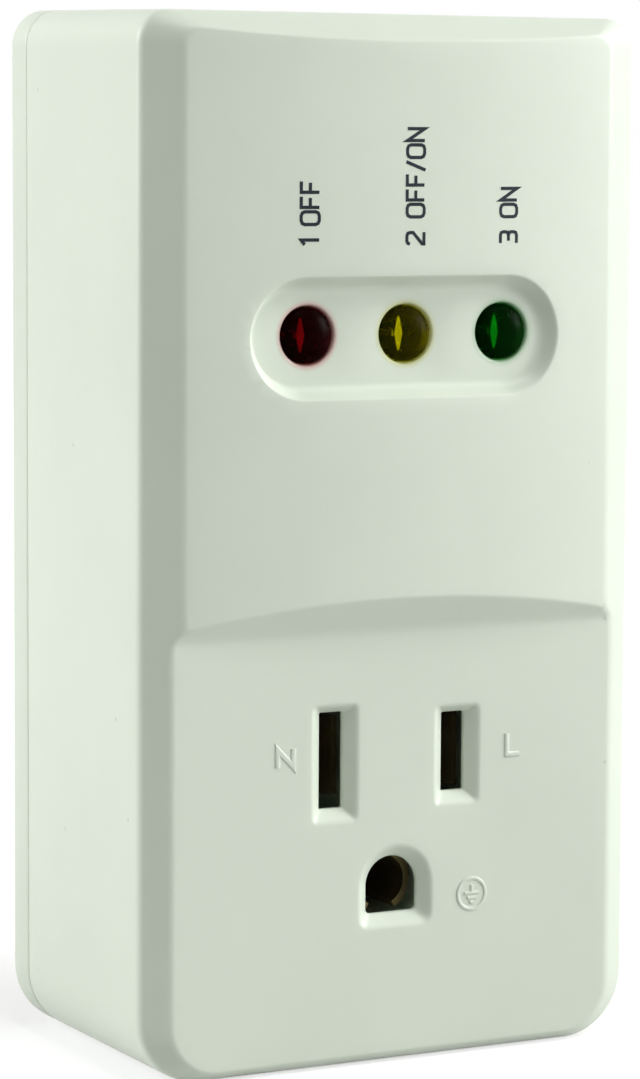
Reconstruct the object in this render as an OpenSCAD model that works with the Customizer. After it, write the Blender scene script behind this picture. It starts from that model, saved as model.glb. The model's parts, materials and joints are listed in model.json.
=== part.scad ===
// Plug-in voltage protector for one appliance: a deep front cover with three lamps and one
// grounded outlet, a shallow back cover with the plug, and a relay board between them.
// Seen from the front, X runs right and Z up. Depths are measured from the crown of the
// upper face towards the wall; seated() then moves a module so that the box of the whole
// part is centred on the origin in X and Y, with the foot at Z 0.

/* [Body] */
// Width of the body
body_w = 50.8; // [49:0.1:56]
// Height of the body
body_h = 96.2; // [94:0.1:104]
// Depth of the body, from the crown of the upper face to the wall
body_d = 31.7; // [31:0.1:36]
// Corner radius at the top, seen from the front
top_r = 3.5; // [2.8:0.1:5]
// Corner radius at the foot, seen from the front
foot_r = 8; // [6:0.1:9]
// How far the upper face falls back from its crown to its sides
crown_sag = 1; // [0.4:0.1:1.2]
// Width of the bevel along both sides
bevel_in = 3.6; // [3:0.1:4]
// Depth of the bevel along both sides
bevel_d = 2.5; // [2:0.1:3]
// Width of the bevel along the top
bevel_top = 2.4; // [1.8:0.1:3]
// Width of the bevel along the foot
bevel_foot = 2.1; // [1.6:0.1:3]
// Rounding between the bevel and the sides
edge_r = 1; // [0.5:0.1:1.4]
// Wall of both covers
wall = 2.2; // [1.8:0.1:2.3]
// Depth of the back cover's visible rim
rim_d = 4; // [3.4:0.1:5]

/* [Lower panel] */
// How far the flat lower panel lies behind the crown
panel_step = 1.6; // [1.3:0.1:1.8]
// Height of the arched edge above the outlet's slots
arch_up = 14.9; // [13.6:0.1:18]
// Height of the slope that ends in the arched edge
slope_h = 3.1; // [2.5:0.1:4]

/* [Outlet] */
// Height of the outlet's slots above the foot
slot_z = 28.4; // [27:0.1:30]
// Distance between the two slots, and between the two blades
slot_pitch = 12.7; // [12.6:0.1:12.8]
// How far the ground hole, and the ground pin, lie below the slots
ground_drop = 11.9; // [11.8:0.1:12]
// Width of both slots
slot_w = 2.3; // [2.1:0.1:2.6]
// Height of the neutral slot
neutral_h = 8.8; // [8:0.1:9.2]
// Height of the line slot
line_h = 7.3; // [6.8:0.1:7.6]
// Width of the ground hole
hole_w = 5.2; // [5:0.1:5.4]
// Depth of the flared mouths
mouth_d = 1; // [0.5:0.1:1.2]
// How far the mouths flare, to each side
mouth_flare = 1.1; // [0.6:0.1:1.2]
// Thickness of the contact strip
strip_t = 0.6; // [0.5:0.05:0.8]
// Radius inside the ground contact
sleeve_r = 2.42; // [2.4:0.01:2.5]

/* [Lamps] */
// Height of the lamps above the slots
lamp_up = 38.6; // [38:0.1:40]
// Distance between two lamps
lamp_pitch = 10; // [9.6:0.1:10.4]
// Middle lamp, to the right of the centre line
lamp_x = 0.4; // [0:0.1:1]
// Diameter of a lamp
lamp_dia = 5; // [4.8:0.1:5.1]
// Length of a lamp
lamp_len = 8.6; // [8:0.1:9]
// Length of the window around the lamps
window_w = 31.3; // [30:0.1:33]
// Height of the window
window_h = 11.3; // [10:0.1:12]
// Depth of the window's floor
window_d = 1; // [0.8:0.1:1.2]
// Width of the window's sloping side
window_slope = 1.4; // [0.8:0.1:1.6]

/* [Plug] */
// Height of the blades above the foot
plug_z = 60; // [58:0.1:60]
// Reach of the blades
blade_reach = 17.6; // [15.9:0.1:18.2]
// Width of a blade
blade_w = 6.35; // [6.2:0.05:6.5]
// Thickness of a blade
blade_t = 1.5; // [1.4:0.05:1.6]
// Reach of the ground pin
pin_reach = 21; // [19.2:0.1:21.4]
// Diameter of the ground pin
pin_dia = 4.75; // [4.65:0.05:4.8]

/* [Board] */
// Thickness of the circuit board
board_t = 1.6; // [1.2:0.1:1.6]
// How far the circuit board reaches below the lamps
board_drop = 20.8; // [20:0.1:21.4]
// Length of the relay
relay_w = 22; // [21.6:0.1:22.4]
// Width of the relay
relay_b = 15.2; // [15:0.1:15.4]
// Air between the relay and the back cover
relay_air = 1.7; // [1.4:0.1:2]
// How far the armature stands open, in degrees
armature_angle = 4; // [3:0.5:4.5]
// Diameter of a wire over its sheath
wire_dia = 2.2; // [1.8:0.1:2.4]

/* [Hidden] */
$fn = 48;

// Facets of the round ends inside hulls
hull_fn = 32;
// Thickness of a slice inside a hull
slice = 0.02;
// Smallest corner radius of a slice
least_r = 0.4;
// How far a cut runs past what it cuts
over = 1;
// Clearance of a part that slides into its place
fit = 0.15;
// Clearance of a part that only clears its neighbour
seat = 0.1;

// Places that several parts share
front_y = -(body_d + pin_reach) / 2;
seam_d = body_d - rim_d;
floor_d = body_d - wall;
half_w = body_w / 2;
neutral_x = -slot_pitch / 2;
line_x = slot_pitch / 2;
ground_z = slot_z - ground_drop;
pin_z = plug_z - ground_drop;
lamp_z = slot_z + lamp_up;
panel_in = panel_step + wall;
arch_top = slot_z + arch_up;
arch_foot = arch_top - slope_h;

// Crown of the upper face: a large arc across the width
face_half = half_w - bevel_in;
crown_r = (face_half * face_half + crown_sag * crown_sag) / (2 * crown_sag);
crown_fn = 720;
edge_d = crown_sag + bevel_d;
top_in = bevel_top * bevel_d / edge_d;
foot_in = bevel_foot * bevel_d / edge_d;

// Bevel and outer edges, each point a share of the bevel's width and a depth
bevel_angle = atan(bevel_d / bevel_in);
edge_run = edge_r * tan((90 - bevel_angle) / 2);
edge_steps = 3;
back_r = 1.5;
front_profile = concat([[edge_d / bevel_d, 0]],
    [for (i = [0 : edge_steps])
        let (a = bevel_angle + (90 - bevel_angle) * i / edge_steps)
        [edge_r * (1 - sin(a)) / bevel_in, edge_d + edge_run - edge_r * cos(a)]]);
back_profile = [for (i = [0 : edge_steps])
    let (a = 90 * i / edge_steps)
    [back_r - back_r * cos(a), body_d - back_r + back_r * sin(a) - slice]];

// The hollow behind the front wall
bevel_len = norm([bevel_in, bevel_d]);
hollow_in = bevel_in + wall * (bevel_len - bevel_in) / bevel_d;
hollow_d = edge_d + wall * (bevel_len - bevel_d) / bevel_in;

// Screws that hold the two covers
post_r = 3.2;
boss_r = 4.2;
post_air = 2;
post_rise = 3.2;
post_x = half_w - wall - post_r - post_air;
post_low = wall + post_r + post_rise;
post_high = body_h - post_low;
boss_len = 5;
post_d = seam_d - boss_len;
screw_r = 1.4;
screw_len = 14;
head_r = 2.8;
head_h = 2.2;
head_sink = 0.8;
head_d = seam_d - head_sink;
head_room = 0.3;
tongue_t = 1.2;
tongue_d = 2;

// Cross cut into a screw's head, as shares of the head
cross_share = [0.57, 0.55, 0.14];

// Lamps and board
lamp_tip = window_d;
lamp_flange_w = 0.4;
lamp_flange_r = lamp_dia / 2 + lamp_flange_w;
lamp_flange_h = 1;
lamp_hole_r = lamp_dia / 2 + seat;
lamp_mouth_d = 0.5;
lamp_mouth_r = lamp_hole_r + lamp_mouth_d;
lamp_xs = [for (i = [-1 : 1]) lamp_x + i * lamp_pitch];
lead_pitch = 2.54;
lead_t = 0.5;
lead_r = 0.5;
lead_tail = 1.2;
board_gap = 1.3;
board_d = lamp_tip + lamp_len + board_gap;
board_back = board_d + board_t;
board_air = 2.2;
board_air_top = 2.8;
board_half = half_w - wall - board_air;
board_high = body_h - wall - board_air_top;
board_low = lamp_z - board_drop;
notch_air = 0.7;
notch_x = post_x - boss_r - notch_air;
notch_z = post_high - boss_r - notch_air;
board_post_r = 2.2;
board_screw_r = 0.9;
board_screw_len = 6;
board_head_r = 1.9;
board_head_h = 1.3;
board_edge = 3.4;
board_top_gap = 4.6;
board_top_x = post_x - boss_r - board_post_r - board_top_gap;
board_posts = [for (s = [-1, 1]) for (p = [[board_half - board_edge, board_low + board_edge],
                                           [board_top_x, board_high - board_edge]])
    [s * p[0], p[1]]];

// Outlet: the block behind the slots, the contacts in its pockets and the carrier
block_air = 11.5;
block_d = floor_d - block_air;
pocket_half = 3.9;
pocket_h = 5.6;
ground_pocket_r = 4.3;
block_wall = 1.5;
block_foot = 1.7;
block_head = 4.6;
block_half = slot_pitch / 2 + pocket_half + block_wall;
block_low = ground_z - ground_pocket_r - block_foot;
block_high = slot_z + pocket_h + block_head;
contact_h = 7.2;
contact_air = 1.6;
contact_lip = panel_in + contact_air;
contact_base = block_d - strip_t / 2;
contact_throat_share = 0.18;
contact_bend_share = 0.54;
lip_x = 1.6;
throat_x = 0.95;
arm_x = 2.4;
tail_h = 4;
tail_len = 5.4;
tail_end = block_d + tail_len;
sleeve_air = 1.2;
sleeve_front = panel_in + sleeve_air;
sleeve_inset = 1;
sleeve_back = block_d - sleeve_inset;
sleeve_gap = 60;
strap_w = 3;
strap_lap = 5;
strap_from = sleeve_back - strap_lap;
strap_z = ground_z + sleeve_r + strip_t / 2;
carrier_t = 2;
carrier_back = block_d + carrier_t;
carrier_screw_r = 1;
carrier_screw_len = 8;
carrier_head_r = 2;
carrier_head_h = 1.5;
carrier_screw_x = 8.6;
carrier_screw_drop = 1.6;
carrier_screws_at = [[line_x / 2, slot_z + pocket_h + block_head / 2],
    for (s = [-1, 1]) [s * carrier_screw_x, ground_z - carrier_screw_drop]];

// Plug: shoulders against the back cover's floor, held by the clamp
shoulder_out = 1.5;
shoulder_w = blade_w + 2 * shoulder_out;
shoulder_h = 2;
blade_tail_w = 5;
blade_tail_len = 8.4;
blade_tail_end = floor_d - blade_tail_len;
blade_nose = 1.6;
pin_r = pin_dia / 2;
pin_step = 0.25;
pin_collar_r = 4;
pin_shank_r = 2;
pin_shank_len = 6.4;
pin_shank_end = floor_d - pin_shank_len;
pin_nose_share = 0.62;
pin_seat_r = pin_r + pin_step;
clamp_half = 11.6;
clamp_foot = 6;
clamp_head = 6.2;
clamp_t = 4.4;
clamp_low = pin_z - clamp_foot;
clamp_high = plug_z + clamp_head;
clamp_d = floor_d - clamp_t;
clamp_ear = 4.8;
clamp_ear_t = 2.2;
clamp_ear_h = 7;
clamp_screw_x = clamp_half + clamp_ear / 2;
clamp_screw_z = (clamp_low + clamp_high) / 2;
clamp_post_r = 2.3;
clamp_screw_r = 0.9;
clamp_screw_len = 4;
clamp_head_r = 1.8;
clamp_head_h = 1.2;

// Relay, on the back of the board; u runs along X, w along the depth, v along Z
relay_x = -13;
relay_up = 0.9;
relay_z = lamp_z + relay_up;
relay_h = floor_d - board_back - relay_air;
relay_t = 0.8;
relay_base_h = 2;
iron_t = 1.2;
iron_b = 9;
yoke_u = 2;
yoke_len = 11;
core_u = 9;
core_r = 2.2;
pole_r = 3;
pole_t = 0.8;
pivot_room = 4.1;
pivot_w = relay_h - pivot_room;
pole_w = pivot_w - seat;
bobbin_r = 5.2;
bobbin_t = 0.7;
bobbin_tube_r = core_r + bobbin_t;
bobbin_low = relay_base_h + iron_t;
bobbin_high = pole_w - pole_t;
winding_r = 4.6;
armature_len = 12.4;
spring_t = 0.25;
spring_b = 6;
spring_end = 19.4;
spring_leg_share = 0.62;
spring_leg = (pivot_w - bobbin_low) * spring_leg_share;
spring_root = 0.1;
contact_u = 18;
rivet_r = 1.5;
rivet_h = 1;
contact_gap = 0.05;
fixed_w = pivot_w + iron_t - rivet_h - contact_gap;
fixed_h = 0.8;
fixed_t = 0.6;
fixed_b = 5;
fixed_u = 20.2;
pin_b = 1;
relay_hole_r = 0.85;
coil_pin_u = 4.6;
coil_pin_in = 2.4;
coil_pins = [[coil_pin_u, coil_pin_in], [coil_pin_u, relay_b - coil_pin_in]];

// Other pieces on the back of the board. Each place is an X and a Z, and each size that could
// reach the back is a share of the room there.
film_gap = 0.7;
film_low = 1.2;
film_air = 1.2;
film_drop = 2.8;
film_right = board_half - board_edge - board_head_r - film_gap / 2;
film_at = [relay_x + relay_w + film_gap, lamp_z + film_low];
film_size = [film_right - film_at[0], relay_h - film_drop, post_high - boss_r - film_air - film_at[1]];
film_pin_in = 2;
film_pins = [for (z = [film_pin_in, film_size[2] - film_pin_in])
    [film_at[0] + film_size[0] / 2, film_at[1] + z]];
can_r = 3.5;
can_share = 0.55;
can_h = (clamp_d - board_back) * can_share;
can_edge = 1;
can_drop = 7.4;
can_at = [board_half - can_r - can_edge, lamp_z - can_drop];
disc_r = 3.8;
disc_t = 3.6;
disc_edge = 0.6;
disc_drop = 9;
disc_at = [disc_r + disc_edge - board_half, lamp_z - disc_drop];
disc_lift = 1.2;
part_lift = 0.6;
bent_r = 0.35;
// Body radius, body length and the leads' distance from the middle
diode_size = [1.3, 4.8, 3.2];
diode_x = -11;
diode_drops = [14.15, 3.8];
diode_ats = [for (drop = diode_drops) [diode_x, lamp_z - drop]];
resistor_size = [1.15, 5.6, 3.6];
resistor_x = 0.6;
resistor_drops = [18.6, 15.4];
far_resistor = [12, 13.6];
resistor_ats = [for (drop = resistor_drops) [resistor_x, lamp_z - drop],
    [far_resistor[0], lamp_z - far_resistor[1]]];
chip_x = -0.9;
chip_drop = 9.1;
chip_at = [chip_x, lamp_z - chip_drop];
chip_size = [6.4, 3.3, 9.6];
chip_lift = 0.5;
chip_legs = 4;
chip_row = 7.62;
chip_leg_w = 0.5;
led_pins = [for (x = lamp_xs) for (s = [-1, 1]) [x + s * lead_pitch / 2, lamp_z]];
can_pins = [for (s = [-1, 1]) [can_at[0], can_at[1] + s * lead_pitch]];
disc_pins = [for (s = [-1, 1]) [disc_at[0] + s * lead_pitch, disc_at[1]]];
diode_pins = [for (p = diode_ats) for (s = [-1, 1]) [p[0] + s * diode_size[2], p[1]]];
resistor_pins = [for (p = resistor_ats) for (s = [-1, 1]) [p[0] + s * resistor_size[2], p[1]]];
chip_pins = [for (s = [-1, 1]) for (i = [0 : chip_legs - 1])
    [chip_at[0] + s * chip_row / 2, chip_at[1] + (i - (chip_legs - 1) / 2) * lead_pitch]];
relay_pins = concat([for (p = coil_pins) [relay_x + p[0], relay_z + p[1]]],
    [[relay_x + yoke_u + iron_t / 2, relay_z + relay_b / 2],
     [relay_x + fixed_u + fixed_t / 2, relay_z + relay_b / 2]]);
board_pins = concat(led_pins, film_pins, can_pins, disc_pins, diode_pins, resistor_pins, chip_pins);

// Wires, each a curve that its control points pull
wire_r = wire_dia / 2;
wire_sides = 8;
wire_steps = 14;
wire_bow = 4.4;
wire_rise_share = 0.35;
wire_rise = (blade_tail_end - board_back) * wire_rise_share;
wire_edge = 1.4;

// Moves a module from the depth frame to the part's own frame
module seated() {
    translate([0, front_y, 0]) children();
}

// An outline in X and Z, made solid from one depth to another
module slab(low, high) {
    translate([0, high, 0]) rotate([90, 0, 0]) linear_extrude(high - low) children();
}

// A round rod along the depth, from one depth to another
module rod(x, z, low, high, r) {
    translate([x, high, z]) rotate([90, 0, 0]) cylinder(h = high - low, r = r);
}

// A cone along the depth, from one depth and radius to another
module taper(x, z, low, high, r_low, r_high) {
    translate([x, low, z]) rotate([-90, 0, 0]) cylinder(h = high - low, r1 = r_low, r2 = r_high);
}

// A box between two corners
module box(low, high) {
    translate(low) cube(high - low);
}

// A screw along the depth: its head lies behind the given depth, its shaft in front of it
module screw(x, z, depth, shaft_r, shaft_l, cap_r, cap_h) {
    dome = cap_h / 2;
    difference() {
        union() {
            rod(x, z, depth - shaft_l, depth, shaft_r);
            rod(x, z, depth, depth + cap_h - dome, cap_r);
            taper(x, z, depth + cap_h - dome, depth + cap_h, cap_r, cap_r - dome);
        }
        for (turn = [0, 90])
            translate([x, depth + cap_h, z]) rotate([0, turn, 0])
                cube([2 * cap_r * cross_share[0], 2 * cap_h * cross_share[1], 2 * cap_r * cross_share[2]],
                     center = true);
    }
}

// Unit vector, left normal and mitre of a path in two dimensions
function unit(v) = v / norm(v);
function left(v) = [-v[1], v[0]];
function side(p, i) = left(unit(p[i + 1] - p[i]));
function mitre(p, i) =
    let (a = side(p, max(i - 1, 0)), b = side(p, min(i, len(p) - 2)))
    (a + b) / (1 + a * b);

// Outline of a strip of thickness t bent along the path p
function strip(p, t) = concat(
    [for (i = [0 : len(p) - 1]) p[i] + mitre(p, i) * t / 2],
    [for (i = [len(p) - 1 : -1 : 0]) p[i] - mitre(p, i) * t / 2]);

// A point on the curve that the control points p pull, for t from 0 to 1
function curve(p, t) = len(p) == 1 ? p[0] :
    curve([for (i = [0 : len(p) - 2]) p[i] * (1 - t) + p[i + 1] * t], t);

// A wire along a curve, with flat ends
module wire(p) {
    path = [for (i = [0 : wire_steps]) curve(p, i / wire_steps)];
    last = len(path) - 1;
    rings = [for (i = [0 : last])
        let (ahead = unit(i == 0 ? p[1] - p[0] : i == last ? p[len(p) - 1] - p[len(p) - 2] :
                          path[i + 1] - path[i - 1]),
             across = unit(cross(ahead, [1, 0, 0])),
             third = cross(ahead, across))
        for (k = [0 : wire_sides - 1])
            let (a = 360 * k / wire_sides)
            path[i] + wire_r * (cos(a) * across + sin(a) * third)];
    walls = [for (i = [0 : last - 1]) for (k = [0 : wire_sides - 1])
        let (a = i * wire_sides + k, b = i * wire_sides + (k + 1) % wire_sides)
        for (f = [[a, b, b + wire_sides], [a, b + wire_sides, a + wire_sides]]) f];
    base = last * wire_sides;
    ends = [for (k = [1 : wire_sides - 2]) for (f = [[0, k + 1, k], [base, base + k, base + k + 1]]) f];
    polyhedron(rings, concat(walls, ends));
}

// Thin slice of the body's outline: its four corners, at three insets and a depth
module body_slice(side_in, top, foot, depth) {
    high_r = max(top_r - (side_in + top) / 2, least_r);
    low_r = max(foot_r - (side_in + foot) / 2, least_r);
    for (s = [-1, 1]) {
        rod(s * (half_w - side_in - high_r), body_h - top - high_r, depth, depth + slice, high_r,
            $fn = hull_fn);
        rod(s * (half_w - side_in - low_r), foot + low_r, depth, depth + slice, low_r, $fn = hull_fn);
    }
}

// The same with one inset all round
module even_slice(inset, depth) {
    body_slice(inset, inset, inset, depth);
}

// The body's outline with round corners, at an inset
module body_outline(inset) {
    low_r = max(foot_r - inset, least_r);
    high_r = max(top_r - inset, least_r);
    w = half_w - inset;
    translate([-w, inset + low_r]) square([2 * w, body_h - 2 * inset - low_r - high_r]);
    translate([low_r - w, inset]) square([2 * (w - low_r), low_r + over]);
    translate([high_r - w, body_h - inset - high_r - over]) square([2 * (w - high_r), high_r + over]);
    for (s = [-1, 1]) {
        translate([s * (w - low_r), inset + low_r]) circle(low_r);
        translate([s * (w - high_r), body_h - inset - high_r]) circle(high_r);
    }
}

// The front of the body: crowned face, bevel, rounded edges and straight sides
module front_solid() {
    intersection() {
        hull() {
            for (p = front_profile)
                body_slice(bevel_in * p[0], top_in * p[0], foot_in * p[0], p[1]);
            even_slice(0, seam_d - slice);
        }
        translate([0, crown_r, -over]) cylinder(h = body_h + 2 * over, r = crown_r, $fn = crown_fn);
    }
}

// What the lower panel lacks: all in front of it, under a slope that cuts the crown in an arch
module panel_cut() {
    rise = over * slope_h / panel_step;
    translate([-half_w - over, 0, 0]) rotate([90, 0, 90]) linear_extrude(body_w + 2 * over)
        polygon([[-over, -over], [panel_step, -over], [panel_step, arch_foot],
                 [-over, arch_top + rise]]);
}

// A slot with its flared mouth
module slot_cut(x, h) {
    box([x - slot_w / 2, 0, slot_z - h / 2], [x + slot_w / 2, panel_in + over, slot_z + h / 2]);
    w = slot_w / 2 + mouth_flare;
    tall = h / 2 + mouth_flare;
    hull() {
        box([x - w, panel_step - slice, slot_z - tall], [x + w, panel_step, slot_z + tall]);
        box([x - slot_w / 2, panel_step + mouth_d, slot_z - h / 2],
            [x + slot_w / 2, panel_step + mouth_d + slice, slot_z + h / 2]);
    }
}

// Outline of the ground hole: a half circle over a flat foot, grown to all sides
module ground_outline(grow) {
    r = hole_w / 2 + grow;
    translate([0, ground_z]) circle(r);
    translate([-r, ground_z - r]) square([2 * r, r]);
}

module ground_cut() {
    slab(0, panel_in + over) ground_outline(0);
    hull() {
        slab(panel_step - slice, panel_step) ground_outline(mouth_flare, $fn = hull_fn);
        slab(panel_step + mouth_d, panel_step + mouth_d + slice) ground_outline(0, $fn = hull_fn);
    }
}

// The window around the lamps: a shallow hollow with round ends and sloping sides
module window_slice(grow, depth) {
    r = window_h / 2 + grow;
    for (s = [-1, 1])
        rod(s * (window_w - window_h) / 2, lamp_z, depth, depth + slice, r, $fn = hull_fn);
}

module window_cut() {
    hull() {
        window_slice(0, -slice);
        window_slice(-window_slope, window_d - slice);
    }
    for (x = lamp_xs) {
        rod(x, lamp_z, 0, panel_in + over, lamp_hole_r);
        taper(x, lamp_z, window_d - slice, window_d + lamp_mouth_d, lamp_mouth_r, lamp_hole_r);
    }
}

// The hollow of the front cover, stepped under the bevel. It keeps the lower panel and the
// window's floor whole.
module front_hollow() {
    difference() {
        union() {
            slab(crown_sag + wall, seam_d) body_outline(hollow_in);
            slab(hollow_d, seam_d + over) body_outline(wall);
        }
        box([-half_w, 0, 0], [half_w, panel_in, arch_top]);
        box([-window_w / 2, 0, lamp_z - window_h / 2],
            [window_w / 2, window_d + wall, lamp_z + window_h / 2]);
    }
}

// Sleeves for the cover's screws and posts for the board
module posts() {
    for (s = [-1, 1]) for (z = [post_low, post_high])
        rod(s * post_x, z, wall, post_d, post_r);
    for (p = board_posts)
        rod(p[0], p[1], wall, board_d, board_post_r);
}

// The pockets of the outlet's contacts and the holes for the carrier's screws
module outlet_pockets() {
    for (x = [neutral_x, line_x])
        box([x - pocket_half, panel_in, slot_z - pocket_h],
            [x + pocket_half, block_d + over, slot_z + pocket_h]);
    rod(0, ground_z, panel_in, block_d + over, ground_pocket_r);
    for (p = carrier_screws_at)
        rod(p[0], p[1], carrier_back - carrier_screw_len - over, block_d + over, carrier_screw_r);
}

module front_cover() {
    color("honeydew") seated() difference() {
        union() {
            difference() {
                front_solid();
                front_hollow();
            }
            posts();
            box([-block_half, wall, block_low], [block_half, block_d, block_high]);
        }
        panel_cut();
        slot_cut(neutral_x, neutral_h);
        slot_cut(line_x, line_h);
        ground_cut();
        window_cut();
        outlet_pockets();
        for (s = [-1, 1]) for (z = [post_low, post_high])
            rod(s * post_x, z, head_d - screw_len - over, post_d + over, screw_r);
        for (p = board_posts)
            rod(p[0], p[1], board_back - board_screw_len - over, board_d + over, board_screw_r);
    }
}

module back_cover() {
    color("mintcream") seated() difference() {
        union() {
            difference() {
                hull() {
                    even_slice(0, seam_d);
                    for (p = back_profile) even_slice(p[0], p[1]);
                }
                slab(seam_d - over, floor_d) body_outline(wall);
            }
            slab(seam_d - tongue_d, floor_d) difference() {
                body_outline(wall + fit);
                body_outline(wall + fit + tongue_t);
            }
            for (s = [-1, 1]) {
                for (z = [post_low, post_high])
                    rod(s * post_x, z, post_d, floor_d + slice, boss_r);
                rod(s * clamp_screw_x, clamp_screw_z, clamp_d + clamp_ear_t, floor_d + slice,
                    clamp_post_r);
            }
        }
        for (s = [-1, 1]) {
            for (z = [post_low, post_high]) {
                rod(s * post_x, z, post_d - over, body_d + over, screw_r + seat);
                rod(s * post_x, z, head_d, body_d + over, head_r + head_room);
            }
            rod(s * clamp_screw_x, clamp_screw_z, clamp_d, floor_d, clamp_screw_r);
        }
        for (x = [neutral_x, line_x])
            box([x - blade_t / 2, floor_d - over, plug_z - blade_w / 2],
                [x + blade_t / 2, body_d + over, plug_z + blade_w / 2]);
        rod(0, pin_z, floor_d - over, body_d + over, pin_seat_r);
    }
}

module cover_screws() {
    color("silver") seated()
        for (s = [-1, 1]) for (z = [post_low, post_high])
            screw(s * post_x, z, head_d, screw_r, screw_len, head_r, head_h);
}

module circuit_board() {
    color("darkgoldenrod") seated() difference() {
        box([-board_half, board_d, board_low], [board_half, board_back, board_high]);
        for (x = [notch_x, -board_half - over])
            box([x, board_d - over, notch_z],
                [x + board_half - notch_x + over, board_back + over, body_h]);
        for (p = board_posts)
            rod(p[0], p[1], board_d - over, board_back + over, board_screw_r + seat);
        for (p = board_pins)
            rod(p[0], p[1], board_d - over, board_back + over, lead_r);
        for (p = relay_pins)
            rod(p[0], p[1], board_d - over, board_back + over, relay_hole_r);
    }
}

module board_screws() {
    color("silver") seated()
        for (p = board_posts)
            screw(p[0], p[1], board_back, board_screw_r, board_screw_len, board_head_r, board_head_h);
}

// A lamp: a flange, a straight body and a round nose
module lamp(x) {
    r = lamp_dia / 2;
    translate([x, lamp_tip + lamp_len, lamp_z]) rotate([90, 0, 0]) rotate_extrude() {
        square([lamp_flange_r, lamp_flange_h]);
        square([r, lamp_len - r]);
        intersection() {
            translate([0, lamp_len - r]) circle(r);
            translate([0, lamp_len - r - slice]) square([r, r + slice]);
        }
    }
}

module led_red() {
    color("firebrick") seated() lamp(lamp_xs[0]);
}

module led_yellow() {
    color("gold") seated() lamp(lamp_xs[1]);
}

module led_green() {
    color("forestgreen") seated() lamp(lamp_xs[2]);
}

// Square leads at the given places, from a depth through the board
module legs(places, from) {
    for (p = places)
        box([p[0] - lead_t / 2, board_d - lead_tail, p[1] - lead_t / 2],
            [p[0] + lead_t / 2, from, p[1] + lead_t / 2]);
}

module led_leads() {
    color("lightgray") seated()
        for (p = led_pins)
            box([p[0] - lead_t / 2, lamp_tip + lamp_len, p[1] - lead_t / 2],
                [p[0] + lead_t / 2, board_back + lead_tail, p[1] + lead_t / 2]);
}

// A slot contact: two sprung arms from a base, open to the front, and a tail for its wire
module slot_contact(x) {
    reach = contact_base - contact_lip;
    arm = [[lip_x, contact_lip], [throat_x, contact_lip + reach * contact_throat_share],
           [arm_x, contact_lip + reach * contact_bend_share], [arm_x, contact_base]];
    path = concat([for (p = arm) [-p[0], p[1]]], [for (i = [len(arm) - 1 : -1 : 0]) arm[i]]);
    translate([x, 0, slot_z - contact_h / 2]) linear_extrude(contact_h)
        polygon(strip(path, strip_t));
    box([x - strip_t / 2, contact_base, slot_z - tail_h / 2],
        [x + strip_t / 2, tail_end, slot_z + tail_h / 2]);
}

module neutral_contact() {
    color("peru") seated() slot_contact(neutral_x);
}

module line_contact() {
    color("peru") seated() slot_contact(line_x);
}

// The ground contact: a split sleeve and a strap on it that ends in a tail
module ground_contact() {
    color("peru") seated() {
        translate([0, sleeve_front, ground_z]) rotate([-90, 0, 0])
            rotate([0, 0, 90 + sleeve_gap / 2])
                rotate_extrude(angle = 360 - sleeve_gap)
                    translate([sleeve_r, 0]) square([strip_t, sleeve_back - sleeve_front]);
        box([-strap_w / 2, strap_from, strap_z], [strap_w / 2, tail_end, strap_z + strip_t]);
    }
}

module contact_carrier() {
    color("dimgray") seated() difference() {
        box([-block_half, block_d, block_low], [block_half, carrier_back, block_high]);
        for (x = [neutral_x, line_x])
            box([x - strip_t / 2, block_d - over, slot_z - tail_h / 2],
                [x + strip_t / 2, carrier_back + over, slot_z + tail_h / 2]);
        box([-strap_w / 2, block_d - over, strap_z],
            [strap_w / 2, carrier_back + over, strap_z + strip_t]);
        for (p = carrier_screws_at)
            rod(p[0], p[1], block_d - over, carrier_back + over, carrier_screw_r + seat);
    }
}

module carrier_screws() {
    color("silver") seated()
        for (p = carrier_screws_at)
            screw(p[0], p[1], carrier_back, carrier_screw_r, carrier_screw_len, carrier_head_r,
                  carrier_head_h);
}

// A blade: a bevelled nose outside, shoulders and a tail inside
module blade(x) {
    half = blade_w / 2;
    tip = body_d + blade_reach;
    translate([x + blade_t / 2, 0, plug_z]) rotate([0, -90, 0]) linear_extrude(blade_t)
        polygon([[-half, floor_d], [-half, tip - blade_nose], [blade_nose - half, tip],
                 [half - blade_nose, tip], [half, tip - blade_nose], [half, floor_d],
                 [shoulder_w / 2, floor_d], [shoulder_w / 2, floor_d - shoulder_h],
                 [blade_tail_w / 2, floor_d - shoulder_h], [blade_tail_w / 2, blade_tail_end],
                 [-blade_tail_w / 2, blade_tail_end], [-blade_tail_w / 2, floor_d - shoulder_h],
                 [-shoulder_w / 2, floor_d - shoulder_h], [-shoulder_w / 2, floor_d]]);
}

module neutral_blade() {
    color("goldenrod") seated() blade(neutral_x);
}

module line_blade() {
    color("goldenrod") seated() blade(line_x);
}

// The ground pin: a shank, a collar against the floor, a seat in the wall, the pin and its tip
module ground_pin() {
    nose = pin_r * pin_nose_share;
    color("goldenrod") seated() {
        rod(0, pin_z, pin_shank_end, floor_d, pin_shank_r);
        rod(0, pin_z, floor_d - shoulder_h, floor_d, pin_collar_r);
        rod(0, pin_z, floor_d - shoulder_h, body_d, pin_seat_r);
        rod(0, pin_z, floor_d - shoulder_h, body_d + pin_reach - nose, pin_r);
        translate([0, body_d + pin_reach - nose, pin_z]) rotate([-90, 0, 0])
            rotate_extrude() intersection() {
                square([pin_r, nose]);
                union() {
                    square([pin_r - nose, nose]);
                    translate([pin_r - nose, 0]) circle(nose);
                }
            }
    }
}

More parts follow.
